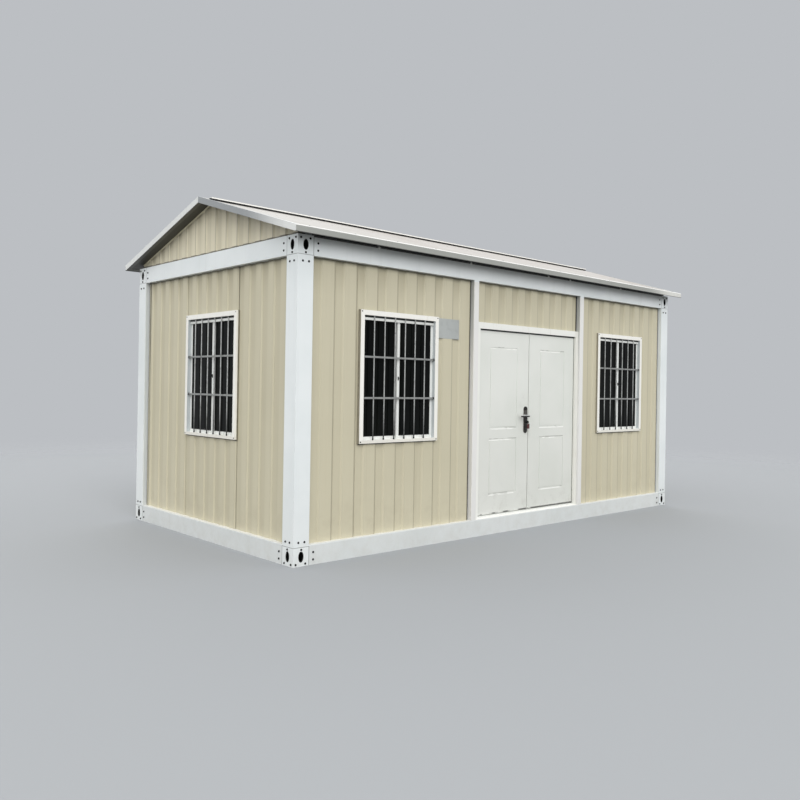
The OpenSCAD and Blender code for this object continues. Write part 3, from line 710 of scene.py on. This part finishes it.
# grey painted steel of the window bars, with painted shade towards the sill and on the rails
barLook = {
    "paint": (196, 197, 194),
    "worn": (146, 146, 142),
    "low": (34, 34, 33),
    "sillShadeFade": (1.04, 1.4),
    "rails": (0.338, 0.668),  # shares of the opening, where the flat rails are, with painted shade darker than the bars
    "railHalf": 0.0095,
    "rough": 0.3,
}


def barPaint(place):
    cloud = place.noise(22.0, 5.0, 0.6)
    colour = cloud.fade(0.45, 0.75).tint(barLook["paint"], barLook["worn"])
    height = place.axis("Z")
    low, high = (end.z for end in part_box("front_left_sashes"))
    rail = sum(abs(height - low - share * (high - low)) < barLook["railHalf"] for share in barLook["rails"])
    # painted shade towards the sill and on the rails
    dirt = (1 - height.fade(*barLook["sillShadeFade"])) * 0.85 + rail * 0.3
    return {
        "Base Color": dirt.tint(colour, barLook["low"]),
        "Metallic": 0.6,
        "Roughness": cloud.swing(barLook["rough"], 0.2),
        "Normal": place.noise(160.0, 2.0).bump(0.15, 0.0008),
    }


# blackened bolts, screws, latches, bar feet and key
darkLook = {"black": (8, 8, 8), "grey": (28, 28, 27), "rough": 0.6}


def darkSteel(place):
    cloud = place.noise(60.0, 4.0)
    return {
        "Base Color": cloud.fade(0.5, 0.8).tint(darkLook["black"], darkLook["grey"]),
        "Specular IOR Level": 0.15,
        "Roughness": cloud.swing(darkLook["rough"], 0.2),
        "Normal": cloud.bump(0.1, 0.0008),
    }


# black rubber and foam of the seals, strips and closures; the strips under the casings and the ridge closures also
# stand in dark for shade
rubberLook = {"black": (28, 28, 28), "bloom": (58, 57, 54), "rough": 0.625}


def sealRubber(place):
    bloom = place.noise(45.0, 4.0).fade(0.5, 0.8)
    return {
        "Base Color": (bloom * 0.5).tint(rubberLook["black"], rubberLook["bloom"]),
        "Roughness": bloom.swing(rubberLook["rough"], 0.15),
        "Normal": bloom.bump(0.1, 0.0005),
    }


# brown-grey sealant round the casings, weathered
pasteLook = {"fresh": (140, 132, 112), "old": (104, 97, 80), "rough": 0.6}


def sealantPaste(place):
    old = place.noise(26.0, 5.0, 0.6).fade(0.4, 0.7)
    return {
        "Base Color": old.tint(pasteLook["fresh"], pasteLook["old"]),
        "Roughness": old.swing(pasteLook["rough"], 0.2),
        "Normal": place.noise(90.0, 3.0).bump(0.2, 0.001),
    }


# bare brushed sheet of the blank plate
plateLook = {"metal": (184, 188, 186), "stain": (158, 161, 160), "rough": 0.46}


def plateMetal(place):
    brushed = place.stretch(4, 4, 700).noise(1.0, 3.0)
    stain = place.noise(16.0, 5.0).fade(0.45, 0.8)
    return {
        "Base Color": (stain * 0.4 + brushed * 0.2).tint(plateLook["metal"], plateLook["stain"]),
        "Metallic": 0.2,
        "Roughness": brushed.swing(plateLook["rough"], 0.2),
        "Normal": brushed.bump(0.12, 0.0005),
    }


# dark red key tag
tagLook = {"red": (78, 32, 33), "rubbed": (100, 62, 61), "rough": 0.45}


def tagPlastic(place):
    rubbed = place.noise(120.0, 4.0).fade(0.5, 0.8)
    return {
        "Base Color": (rubbed * 0.5).tint(tagLook["red"], tagLook["rubbed"]),
        "Roughness": rubbed.swing(tagLook["rough"], 0.2),
        "Normal": rubbed.bump(0.1, 0.0004),
    }


# cream coated steel of the angles where the gables meet the roof
creamLook = {"paint": (236, 231, 208), "shade": (216, 210, 186), "rough": 0.455}


def creamPaint(place):
    cloud = place.noise(9.0, 4.0)
    return {
        "Base Color": cloud.fade(0.4, 0.75).tint(creamLook["paint"], creamLook["shade"]),
        "Roughness": cloud.swing(creamLook["rough"], 0.15),
        "Normal": place.noise(180.0, 2.0).bump(0.12, 0.0008),
    }


# which finish each slot of the record's parts takes
slotFinish = {
    "frame_paint": makeMaterial(framePaint),
    "door_paint": makeMaterial(doorPaint),
    "sash_white": makeMaterial(sashPlastic),
    "window_glass": makeMaterial(windowGlass),
    "roof_sheet": makeMaterial(roofSheet),
    "hinge_steel": makeMaterial(zincSteel),
    "handle_metal": makeMaterial(handleMetal),
    "floor_finish": makeMaterial(floorBoard),
    "ceiling_finish": makeMaterial(ceilingFacing),
}
white, plastic, sheet, zinc = (slotFinish[k] for k in ("frame_paint", "sash_white", "roof_sheet", "hinge_steel"))
frameWhite = makeMaterial(casingPaint, "door")
steelGrey = makeMaterial(barPaint)
dark = makeMaterial(darkSteel)
rubber = makeMaterial(sealRubber)
paste = makeMaterial(sealantPaste)
blankMetal = makeMaterial(plateMetal)
redTag = makeMaterial(tagPlastic)
cream = makeMaterial(creamPaint)
print("materials made:", len(bpy.data.materials))

doorFrame = ("left_door_jamb", "right_door_jamb", "door_lintel", "door_threshold")


def dressNodes():
    for part in frame["record"]["subparts"]:
        name = part["node"]
        finish = slotFinish.get(part["material_slot"])
        if name.endswith("_casing"):
            finish = makeMaterial(casingPaint, "window", name)
        if name in doorFrame:
            finish = frameWhite
        if finish is None:
            finish = makeMaterial(panelPaint if part["material_slot"] == "panel_paint" else trimPaint, name)
        mesh = nodes[name].data
        mesh.materials.clear()
        mesh.materials.append(finish)


dressNodes()
print("nodes dressed")

# each wall's own frame: u to the right as seen from outside, depth inwards, height
walls = {
    "front": Matrix.Translation((0, -halfWidth, 0)),
    "back": Matrix.Translation((0, halfWidth, 0)) @ Matrix.Rotation(math.pi, 4, "Z"),
    "left": Matrix.Translation((-halfLength, 0, 0)) @ Matrix.Rotation(-math.pi / 2, 4, "Z"),
    "right": Matrix.Translation((halfLength, 0, 0)) @ Matrix.Rotation(math.pi / 2, 4, "Z"),
}
outward, upward = (0, -1, 0), (0, 0, 1)  # in a wall's own frame


def addPiece(name, bm, material, wall=None, body="house", sharp=32):
    if wall:
        bm.transform(walls[wall])
    mesh = bpy.data.meshes.new(name)
    bmesh.ops.recalc_face_normals(bm, faces=bm.faces)
    bm.to_mesh(mesh)
    bm.free()
    mesh.polygons.foreach_set("use_smooth", [True] * len(mesh.polygons))
    mesh.set_sharp_from_angle(angle=math.radians(sharp))
    mesh.materials.append(material)
    piece = bpy.data.objects.new(name, mesh)
    scene.collection.objects.link(piece)
    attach(piece, body)


# moves a part to its wall and joins it to the rest of its piece
def mergeInto(whole, part, wall):
    part.transform(walls[wall])
    mesh = bpy.data.meshes.new("part")
    part.to_mesh(mesh)
    part.free()
    whole.from_mesh(mesh)
    bpy.data.meshes.remove(mesh)


def circle(count, first=0.0):
    return [2 * math.pi * (i + first) / count for i in range(count)]


# quads from one ring of points to the next
def bridge(bm, low, high):
    for i in range(len(low)):
        j = (i + 1) % len(low)
        bm.faces.new((low[i], low[j], high[j], high[i]))


# an outline swept through the stations, each a list of points
def addSwept(bm, stations, closed=False):
    rings = [[bm.verts.new(p) for p in ring] for ring in stations]
    for low, high in zip(rings, rings[1:]):
        bridge(bm, low, high)
    if closed:
        bridge(bm, rings[-1], rings[0])
    else:
        bm.faces.new(list(reversed(rings[0])))
        bm.faces.new(rings[-1])


# a profile turned about an axis: distances along it with shares of the radius
def addTurned(bm, start, along, radius, profile, sides):
    start, along = Vector(start), Vector(along).normalized()
    across = along.orthogonal().normalized()
    other = along.cross(across)
    spokes = [across * math.cos(a) + other * math.sin(a) for a in circle(sides, 0.5)]
    addSwept(bm, [[start + along * d + spoke * (share * radius) for spoke in spokes] for d, share in profile])


# a box with its edges taken off
def addBlock(bm, low, high, chamfer):
    low, high = Vector(low), Vector(high)
    size = high - low
    place = Matrix.Translation((low + high) / 2) @ Matrix.Diagonal((size.x, size.y, size.z, 1))
    made = bmesh.ops.create_cube(bm, size=1, matrix=place)
    edges = list({e for v in made["verts"] for e in v.link_edges})
    bmesh.ops.bevel(bm, geom=edges, offset=chamfer, segments=2, affect="EDGES", profile=0.5)


# a strip along a wall: section points are (depth, height)
def addStrip(bm, section, left, right):
    addSwept(bm, [[(u, depth, z) for depth, z in section] for u in (left, right)])


# a strip round an upright rectangle: section points are (inwards, back from the depth)
def addUprightRing(bm, left, right, low, high, section, depth, way=1):
    corners = ((left, low, 1, 1), (right, low, -1, 1), (right, high, -1, -1), (left, high, 1, -1))
    stations = []
    for u, z, du, dz in corners:
        stations.append([(u + du * inward, depth + way * back, z + dz * inward) for inward, back in section])
    addSwept(bm, stations, closed=True)


def angleSection(wide, tall, sheet):
    return ((0, 0), (wide, 0), (wide, sheet), (sheet, sheet), (sheet, tall), (0, tall))


# a node's box in a wall's own frame
def wallBox(name, wall):
    turn = walls[wall].inverted()
    ends = [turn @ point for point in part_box(name)]
    return [Vector(map(pick, *ends)) for pick in (min, max)]


# each window's wall, and which of its sashes runs in the outer track
windows = {
    "front_left": ("front", "right"),
    "front_right": ("front", "right"),
    "left_end": ("left", "left"),
    "right_end": ("right", "right"),
}

# steel bars in the window reveals, in front of the sashes
barsPlan = {
    "behind": 0.016,  # the bars' middle behind the casing's face
    "uprights": 6,
    "uprightRadius": 0.006,
    "sides": 14,
    "railTall": 0.018,
    "railDeep": 0.014,
    "railChamfer": 0.0022,
    "foot": 0.012,
    "footShares": (1.25, 1.2, 1.05),  # of the upright's radius, from the sill up
    "footGrow": 0.002,  # the rails' feet are this much larger than the rails, and rounded by as much
}


def addBars(name, wall):
    plan = barsPlan
    low, high = wallBox(name + "_sashes", wall)
    depth = wallBox(name + "_casing", wall)[0].y + plan["behind"]
    wide, tall = high.x - low.x, high.z - low.z
    bars, feet = bmesh.new(), bmesh.new()
    foot, grow, count = plan["foot"], plan["footGrow"], plan["uprights"]
    barProfile = ((0, 1), (tall, 1))
    footProfile = tuple(zip((0, foot, foot * 1.2), plan["footShares"]))
    for i in range(count):
        spot = (low.x + wide * (i + 1) / (count + 1), depth, low.z)
        for bm, profile in ((bars, barProfile), (feet, footProfile)):
            addTurned(bm, spot, upward, plan["uprightRadius"], profile, plan["sides"])
    deep, half = plan["railDeep"] / 2, plan["railTall"] / 2
    for share in barLook["rails"]:
        z = low.z + share * tall
        addBlock(bars, (low.x, depth - deep, z - half), (high.x, depth + deep, z + half), plan["railChamfer"])
        for start in (low.x, high.x - foot):
            footLow = (start, depth - deep - grow, z - half - grow)
            footHigh = (start + foot, depth + deep + grow, z + half + grow)
            addBlock(feet, footLow, footHigh, grow)
    addPiece(name + "_bars", bars, steelGrey, wall)
    addPiece(name + "_bar_feet", feet, dark, wall)


# black seals round the panes, sash latches, casing screws, head tracks, the sealant behind the casing, and black
# strips under the casing's head and foot that stand in for the shade there
fittingsPlan = {
    "sashDepth": 0.017,
    "sashLap": 0.03,
    "stile": 0.03,
    "seal": ((-0.001, 0.001), (0.001, -0.0012), (0.005, 0.002), (0.005, 0.0055), (-0.001, 0.0055)),
    "latchHeight": 0.5,  # share of the opening
    "latchBlocks": (  # low and high ends from the sash's face, chamfer
        ((-0.006, -0.004, -0.017), (0.006, 0, 0.017), 0.0015),
        ((-0.0024, -0.009, -0.0024), (0.0024, -0.006, 0.0153), 0.001),
    ),
    "latchKnob": (0.0048, ((0.004, 1), (0.008, 1), (0.0092, 0.75)), 16),  # radius, profile, sides
    "screw": (0.0062, ((-0.001, 1), (0.0008, 1), (0.0018, 0.7), (0.0021, 0.3)), 12),
    "screwInset": (0.016, 0.014),
    "sealant": ((-0.003, 0.004), (-0.003, -0.0005), (-0.0018, -0.002), (0, -0.0028), (0.004, -0.002), (0.004, 0.004)),
    # the foot strip: black rubber under the casing's foot, a dark stand-in for the shadow there
    "drip": (0.002, 0.004, 0.009, 0.003, 0.0012),  # inset, half depth, below and above the casing's foot, chamfer
    "head_track": (0.018, 0.042, 0.014, 0.0025),  # top and foot below the opening's top, depth, chamfer
    # black rubber strip under the casing's head, a dark stand-in for the shade there
    "head_shade_strip": (0, 0.018, 0.011, 0.0015),
    "clear": 0.0005,  # from these two to the sashes
}
fittingFinish = {  # finish and slot
    "head_track": (plastic, "sash_white"),
    "head_shade_strip": (rubber, "sash_white"),
    "drip_seal": (rubber, "panel_paint"),
    "seals": (rubber, "window_glass"),
    "latch": (dark, "sash_white"),
    "casing_screws": (dark, "frame_paint"),
    "sealant": (paste, "panel_paint"),
}


def addWindowFittings(name, wall, outerSash):
    plan = fittingsPlan
    made = {label: bmesh.new() for label in fittingFinish}
    low, high = wallBox(name + "_sashes", wall)
    outLow, outHigh = wallBox(name + "_casing", wall)
    stile = plan["stile"]
    sashWidth = (high.x - low.x + plan["sashLap"]) / 2
    fronts = (low.y, high.y - plan["sashDepth"])
    if outerSash == "right":
        fronts = fronts[::-1]
    for left, front in zip((low.x, high.x - sashWidth), fronts):
        pane = (left + stile, left + sashWidth - stile, low.z + stile, high.z - stile)
        for depth, way in ((front, 1), (front + plan["sashDepth"], -1)):
            addUprightRing(made["seals"], *pane, plan["seal"], depth, way)
    spot = Vector(((low.x + high.x) / 2, low.y, low.z + plan["latchHeight"] * (high.z - low.z)))
    for blockLow, blockHigh, chamfer in plan["latchBlocks"]:
        addBlock(made["latch"], spot + Vector(blockLow), spot + Vector(blockHigh), chamfer)
    addTurned(made["latch"], spot, outward, *plan["latchKnob"])
    inX, inZ = plan["screwInset"]
    for u in (outLow.x + inX, outHigh.x - inX):
        for z in (outLow.z + inZ, outHigh.z - inZ):
            addTurned(made["casing_screws"], (u, outLow.y, z), outward, *plan["screw"])
    crest = wallBox(name + "_wall", wall)[0].y
    addUprightRing(made["sealant"], outLow.x, outHigh.x, outLow.z, outHigh.z, plan["sealant"], crest)
    inset, half, below, above, chamfer = plan["drip"]
    dripLow = (outLow.x + inset, crest - half, outLow.z - below)
    addBlock(made["drip_seal"], dripLow, (outHigh.x - inset, crest + half, outLow.z + above), chamfer)
    for label in ("head_track", "head_shade_strip"):
        top, foot, deep, chamfer = plan[label]
        partLow = (low.x, low.y - deep, high.z - foot)
        addBlock(made[label], partLow, (high.x, low.y - plan["clear"], high.z - top), chamfer)
    for label, (material, slot) in fittingFinish.items():
        addPiece(name + "_" + label, made[label], material, wall)


for name, (wall, outerSash) in windows.items():
    addBars(name, wall)
    addWindowFittings(name, wall, outerSash)
print("window bars, seals, latches and screws made")

# dark foam strips in the slits between the wall panels and the posts
edgePlan = {
    "walls": {
        "front_left_wall": "front", "front_right_wall": "front", "over_door_panel": "front",
        "left_end_wall": "left", "right_end_wall": "right", "back_wall": "back",
    },
    "gap": 0.012,
    "inset": 0.004,
    "deep": 0.03,
    "chamfer": 0.003,
}


def addEdgeStrips():
    p = edgePlan
    strips = bmesh.new()
    for node, wall in p["walls"].items():
        low, high = wallBox(node, wall)
        front = low.y + p["inset"]
        part = bmesh.new()
        for left in (low.x - p["gap"], high.x):
            addBlock(part, (left, front, low.z), (left + p["gap"], front + p["deep"], high.z), p["chamfer"])
        mergeInto(strips, part, wall)
    addPiece("panel_edge_strips", strips, rubber)


addEdgeStrips()
print("panel edge strips made")

# bolts through the corner blocks, the beam ends and the post ends: distance from the corner, height
boltPlan = {
    "top": (
        (0.03, -0.028), (0.126, -0.028), (0.081, -0.149),
        (0.208, -0.059), (0.208, -0.121), (0.052, -0.222), (0.114, -0.222),
    ),
    "bottom": (
        (0.028, 0.02), (0.126, 0.02), (0.083, 0.14),
        (0.206, 0.106), (0.206, 0.044), (0.052, 0.202), (0.114, 0.202),
    ),
    "washer": (0.0098, ((-0.001, 1), (0.0014, 1), (0.0018, 0.9)), 18),  # radius, profile, sides
    "head": (0.007, ((0.0016, 1), (0.0058, 1), (0.0072, 0.82), (0.0074, 0.5)), 6),
}


def addBolts():
    bm = bmesh.new()
    spots = [(d, frameTop + z) for d, z in boltPlan["top"]] + list(boltPlan["bottom"])
    for wall, half in (("front", halfLength), ("back", halfLength), ("left", halfWidth), ("right", halfWidth)):
        part = bmesh.new()
        for side in (-1, 1):
            for d, z in spots:
                for shape in ("washer", "head"):
                    addTurned(part, (side * (half - d), 0, z), outward, *boltPlan[shape])
        mergeInto(bm, part, wall)
    addPiece("corner_bolts", bm, dark, sharp=25)


addBolts()
print("corner bolts made")

# blank plate on the wall beside the front left window, folded back at its ends to the ribs
platePlan = {
    "left": -1.288,
    "right": -0.996,
    "low": 2.004,
    "high": 2.2,
    "ribDepth": 0.012,
    "sheet": 0.0012,
    "bend": 0.002,
    "rivet": (0.004, ((-0.0005, 1), (0.0007, 0.95), (0.0016, 0.6), (0.0018, 0.2)), 14),  # radius, profile, sides
    "rivetInset": 0.014,
}


def addPlate():
    p = platePlan
    bm = bmesh.new()
    left, right, low, high = (p[k] for k in ("left", "right", "low", "high"))
    sheet, bend, inset = p["sheet"], p["bend"], p["rivetInset"]
    back = wallBox("front_left_wall", "front")[0].y
    front, rib = back - sheet, back + p["ribDepth"]
    outer = [(0, rib), (0, front + bend), (bend * 0.3, front + bend * 0.3), (bend, front)]
    inner = [(sheet, rib), (sheet, back + bend * 0.5), (bend * 1.5, back)]
    outline = [(left + d, y) for d, y in outer] + [(right - d, y) for d, y in outer[::-1]]
    outline += [(right - d, y) for d, y in inner] + [(left + d, y) for d, y in inner[::-1]]
    addSwept(bm, [[(u, depth, z) for u, depth in outline] for z in (low, high)])
    for u in (left + inset, right - inset):
        for z in (low + inset, high - inset):
            addTurned(bm, (u, front, z), outward, *p["rivet"])
    addPiece("blank_plate", bm, blankMetal, "front")


addPlate()
print("blank plate made")

# key in the outer lock with a tag on its ring
keyPlan = {
    "z": 1.1553,
    "thick": 0.004,
    "shank": (0.012, 0.004, 0.004, 0.0006),  # out of the plate, into it, half height, chamfer
    "bow": 0.015,
    "lobes": (3, 0.12),  # round the bow: how many, and their share of its radius
    "hole": (0.0042, 0.004),  # radius, and distance out from the bow's middle
    "ring": (0.013, 0.0009),  # its radius and its wire's
    "ringHang": 0.0035,
    "tag": (0.038, 0.052, 0.005),
    "tagLap": 0.004,  # over the ring
    "tagChamfer": 0.002,
}


def addKey():
    p = keyPlan
    plateLow, plateHigh = wallBox("handle_plates", "front")
    u, z, face = (plateLow.x + plateHigh.x) / 2, p["z"], plateLow.y
    key, tag = bmesh.new(), bmesh.new()
    t = p["thick"] / 2
    out, into, half, chamfer = p["shank"]
    addBlock(key, (u - t, face - out, z - half), (u + t, face + into, z + half), chamfer)
    bowMiddle = face - out - p["bow"] * 0.85
    lobes, swell = p["lobes"]
    hole, holeOut = p["hole"]
    holeMiddle = bowMiddle - holeOut
    stations = []
    for a in circle(28):
        reach = p["bow"] * (1 + swell * math.cos(lobes * a))
        outer = (bowMiddle + reach * math.cos(a), z + reach * math.sin(a))
        inner = (holeMiddle + hole * math.cos(a), z + hole * math.sin(a))
        stations.append([(u - t, *outer), (u + t, *outer), (u + t, *inner), (u - t, *inner)])
    addSwept(key, stations, closed=True)
    ring, wire = p["ring"]
    ringZ = z - ring + p["ringHang"]
    section = [(wire * math.sin(c), ring + wire * math.cos(c)) for c in circle(8)]
    stations = []
    for a in circle(32):
        stations.append([(u + d, holeMiddle + r * math.cos(a), ringZ + r * math.sin(a)) for d, r in section])
    addSwept(key, stations, closed=True)
    wide, tall, thick = p["tag"]
    top, tagDepth = ringZ - ring + p["tagLap"], holeMiddle - ring * 0.4
    tagLow = (u - wide / 2, tagDepth - thick / 2, top - tall)
    addBlock(tag, tagLow, (u + wide / 2, tagDepth + thick / 2, top), p["tagChamfer"])
    addPiece("door_key", key, dark, "front", "left_door")
    addPiece("key_tag", tag, redTag, "front", "left_door")


addKey()
print("key made")

# the roof's underside, which the pieces below follow
roofPlan = {"slope": math.radians(16.7), "lift": 0.042, "run": 1.661, "under": 0.05533}


def roofUnder(y):
    rise = (roofPlan["run"] - abs(y)) * math.tan(roofPlan["slope"])
    return frameTop + roofPlan["lift"] + rise - roofPlan["under"]


# cream angle between each gable and the underside of the roof
anglePlan = {"wide": 0.01, "tall": 0.012, "sheet": 0.0018, "face": 0.028, "reach": 1.48, "clear": 0.0004}


def addGableAngles():
    p = anglePlan
    section = angleSection(p["wide"], p["tall"], p["sheet"])
    for name, side in (("left", -1), ("right", 1)):
        bm = bmesh.new()
        face = side * (halfLength - p["face"])
        stations = []
        for y in (-p["reach"], 0, p["reach"]):
            top = roofUnder(y) - p["clear"]
            stations.append([(face + side * out, y, top - down) for out, down in section])
        addSwept(bm, stations)
        addPiece(name + "_gable_angle", bm, cream)


addGableAngles()
print("gable angles made")

# cleats between the long top beams and the roof, with their bolts and white caps on the beams below them
cleatPlan = {
    "places": (-2.113, -0.885, 0.39, 0.797, 1.85),
    "wide": 0.034,
    "sheet": 0.004,
    "inset": 0.004,
    "leg": 0.04,
    "clear": 0.002,
    "bolt": (0.007, ((0, 1), (0.005, 1), (0.006, 5 / 7)), 6),  # radius, profile, sides
    "boltIn": 0.02,
    "screw": (0.0055, ((0, 1), (0.003, 1), (0.0042, 6 / 11)), 14),
    "screwUp": 0.013,
    "cap": (0.0125, ((0, 1), (0.008, 1), (0.011, 0.7), (0.012, 0.3)), 16),
    "capDrop": 0.008,
}


def addCleats():
    p = cleatPlan
    inset, sheet, half = p["inset"], p["sheet"], p["wide"] / 2
    tall = roofUnder(halfWidth - inset - sheet) - p["clear"] - frameTop
    section = [(inset + d, frameTop + up) for d, up in angleSection(p["leg"], tall, sheet)]
    for wall in ("front", "back"):
        bm, caps = bmesh.new(), bmesh.new()
        for u in p["places"]:
            addStrip(bm, section, u - half, u + half)
            addTurned(bm, (u, inset + sheet + p["boltIn"], frameTop + sheet), upward, *p["bolt"])
            addTurned(bm, (u, inset, frameTop + p["screwUp"]), outward, *p["screw"])
            addTurned(caps, (u, 0, frameTop - p["capDrop"]), outward, *p["cap"])
        addPiece(wall + "_eave_cleats", bm, zinc, wall)
        addPiece(wall + "_cleat_caps", caps, plastic, wall)


addCleats()
print("eave cleats made")

# painted strips that close the gap between the long top beams and the roof, darkened on their fronts by the frame
# paint's painted eave shade
closerPlan = {"inset": 0.028, "low": 0.0115, "high": 0.0175, "back": 0.032, "sheet": 0.002, "bend": 0.001, "end": 2.9}


def addClosers():
    p = closerPlan
    low, high, front, back = frameTop + p["low"], frameTop + p["high"], p["inset"], p["inset"] + p["back"]
    inner, under, bend = front + p["sheet"], high - p["sheet"], p["bend"]
    section = (
        (front, low), (inner, low), (inner, under), (back, under),
        (back, high), (front + bend, high), (front, high - bend),
    )
    for wall in ("front", "back"):
        bm = bmesh.new()
        addStrip(bm, section, -p["end"], p["end"])
        addPiece(wall + "_eave_closer", bm, white, wall)


addClosers()
print("eave closers made")

# folded lips along the ridge cap's lower edges, on dark foam closures that also stand in for the shade under them
lipPlan = {
    "from": 0.11,
    "knee": 0.158,
    "to": 0.184,
    "rise": 0.019,
    "edge": 0.012,
    "sheet": 0.0016,
    "bend": 0.002,
    "foam": (0.125, 0.177),
    "foamFoot": 0.001,
    "end": 3.06,
    "cover": 0.0031,
}


def addRidgeLips():
    p = lipPlan
    lips, foam = bmesh.new(), bmesh.new()
    start, knee, end, rise, cover, bend = (p[k] for k in ("from", "knee", "to", "rise", "cover", "bend"))
    top, foot = rise + p["edge"], p["foamFoot"]
    foamFrom, foamTo = p["foam"]
    # distances from the ridge, with heights over the roof
    lip = (
        (start, cover), (knee, rise), (end, rise),
        (end, top - bend), (end - bend, top), (start, cover + p["sheet"]),
    )
    core = ((foamFrom, foot), (foamTo, foot), (foamTo, rise), (knee, rise), (foamFrom, cover + bend))
    for side in (-1, 1):
        for bm, section in ((lips, lip), (foam, core)):
            places = [(side * y, roofUnder(y) + roofPlan["under"] - cover + up) for y, up in section]
            addStrip(bm, places, -p["end"], p["end"])
    addPiece("ridge_lips", lips, sheet)
    addPiece("ridge_shade_closures", foam, rubber)


addRidgeLips()
print("ridge lips made")

# screws with washers along the eave trims and the ridge cap
screwPlan = {
    "pitch": 0.48,
    "ends": 2.95,
    "rows": ((1.618, 0.003), (0.12, 0)),  # distance from the ridge, and how far below the sheet's top
    "washer": (0.009, ((-0.0005, 1), (0.0012, 1), (0.0022, 0.8)), 14),  # radius, profile, sides
    "head": (0.0052, ((0.002, 1), (0.0062, 1), (0.0072, 0.75)), 6),
}


def addRoofScrews():
    p = screwPlan
    slope, end = roofPlan["slope"], p["ends"]
    count = round(2 * end / p["pitch"])
    bm = bmesh.new()
    for side in (-1, 1):
        out = (0, side * math.sin(slope), math.cos(slope))
        for row, cover in p["rows"]:
            top = roofUnder(row) + roofPlan["under"] - cover / math.cos(slope)
            for i in range(count + 1):
                for shape in ("washer", "head"):
                    addTurned(bm, (2 * end * i / count - end, side * row, top), out, *p[shape])
    addPiece("roof_screws", bm, zinc)


addRoofScrews()
print("roof screws made")

# pale studio floor that runs out into the backdrop, and gives little light back
floorPlan = {"radius": 40.0, "colour": (163, 166, 169), "bounce": (120, 120, 118), "fadeFrom": 6.0, "fadeTo": 15.0}


# what the camera sees, straight, mirrored or through glass
def seenRays(start):
    return sum(start.node("LightPath", out="Is %s Ray" % kind) for kind in ("Camera", "Glossy", "Transmission"))


def studioFloor(place):
    length = place.node("VectorMath", {"operation": "LENGTH"}, {0: place}, "Value")
    return {
        "Base Color": seenRays(place).tint(floorPlan["bounce"], floorPlan["colour"]),
        "Roughness": 0.9,
        "Specular IOR Level": 0.1,
        "Alpha": 1 - length.fade(floorPlan["fadeFrom"], floorPlan["fadeTo"]),
    }


def addFloor():
    bm = bmesh.new()
    bmesh.ops.create_circle(bm, cap_ends=True, segments=96, radius=floorPlan["radius"])
    mesh = bpy.data.meshes.new("floor")
    bm.to_mesh(mesh)
    bm.free()
    floor = bpy.data.objects.new("floor", mesh)
    scene.collection.objects.link(floor)
    mesh.materials.append(makeMaterial(studioFloor))


# a bright soft sky over a duller ground, and a broad lamp from the front left
lightPlan = {
    "sky": 1.06,
    "ground": 0.2,
    "horizon": (-0.06, 0.1),
    "backdrop": (188, 191, 195),
    "lamps": (  # name, direction that the light comes from, strength, spread in degrees
        ("key", (-0.41, -0.71, 0.57), 1.55, 50),
        ("side", (-1.0, 0.08, 0.2), 0.26, 30),
        ("back", (0.6, 1.0, 0.5), 0.5, 60),
    ),
}


def addLight():
    world = bpy.data.worlds.new("studio")
    scene.world = world
    world.use_nodes = True
    tree = world.node_tree
    tree.nodes.clear()
    start = Wire(tree)
    height = start.node("TexCoord", out="Generated").axis("Z")
    ground, sky = ((value, value, value, 1) for value in (lightPlan["ground"], lightPlan["sky"]))
    light = height.fade(*lightPlan["horizon"]).tint(ground, sky)
    colours = (light, linear(lightPlan["backdrop"]))
    dome, backdrop = (start.node("Background", None, {"Color": colour, "Strength": 1.0}) for colour in colours)
    mixed = start.node("MixShader", None, {0: seenRays(start), 1: dome, 2: backdrop})
    start.join(mixed, tree.nodes.new("ShaderNodeOutputWorld").inputs["Surface"])
    for name, origin, strength, spread in lightPlan["lamps"]:
        lamp = bpy.data.lights.new(name, "SUN")
        lamp.energy = strength
        lamp.angle = math.radians(spread)
        holder = bpy.data.objects.new(name, lamp)
        holder.rotation_euler = Vector(origin).to_track_quat("Z", "Y").to_euler()
        scene.collection.objects.link(holder)


addFloor()
addLight()
print("floor and light set")

print("done")
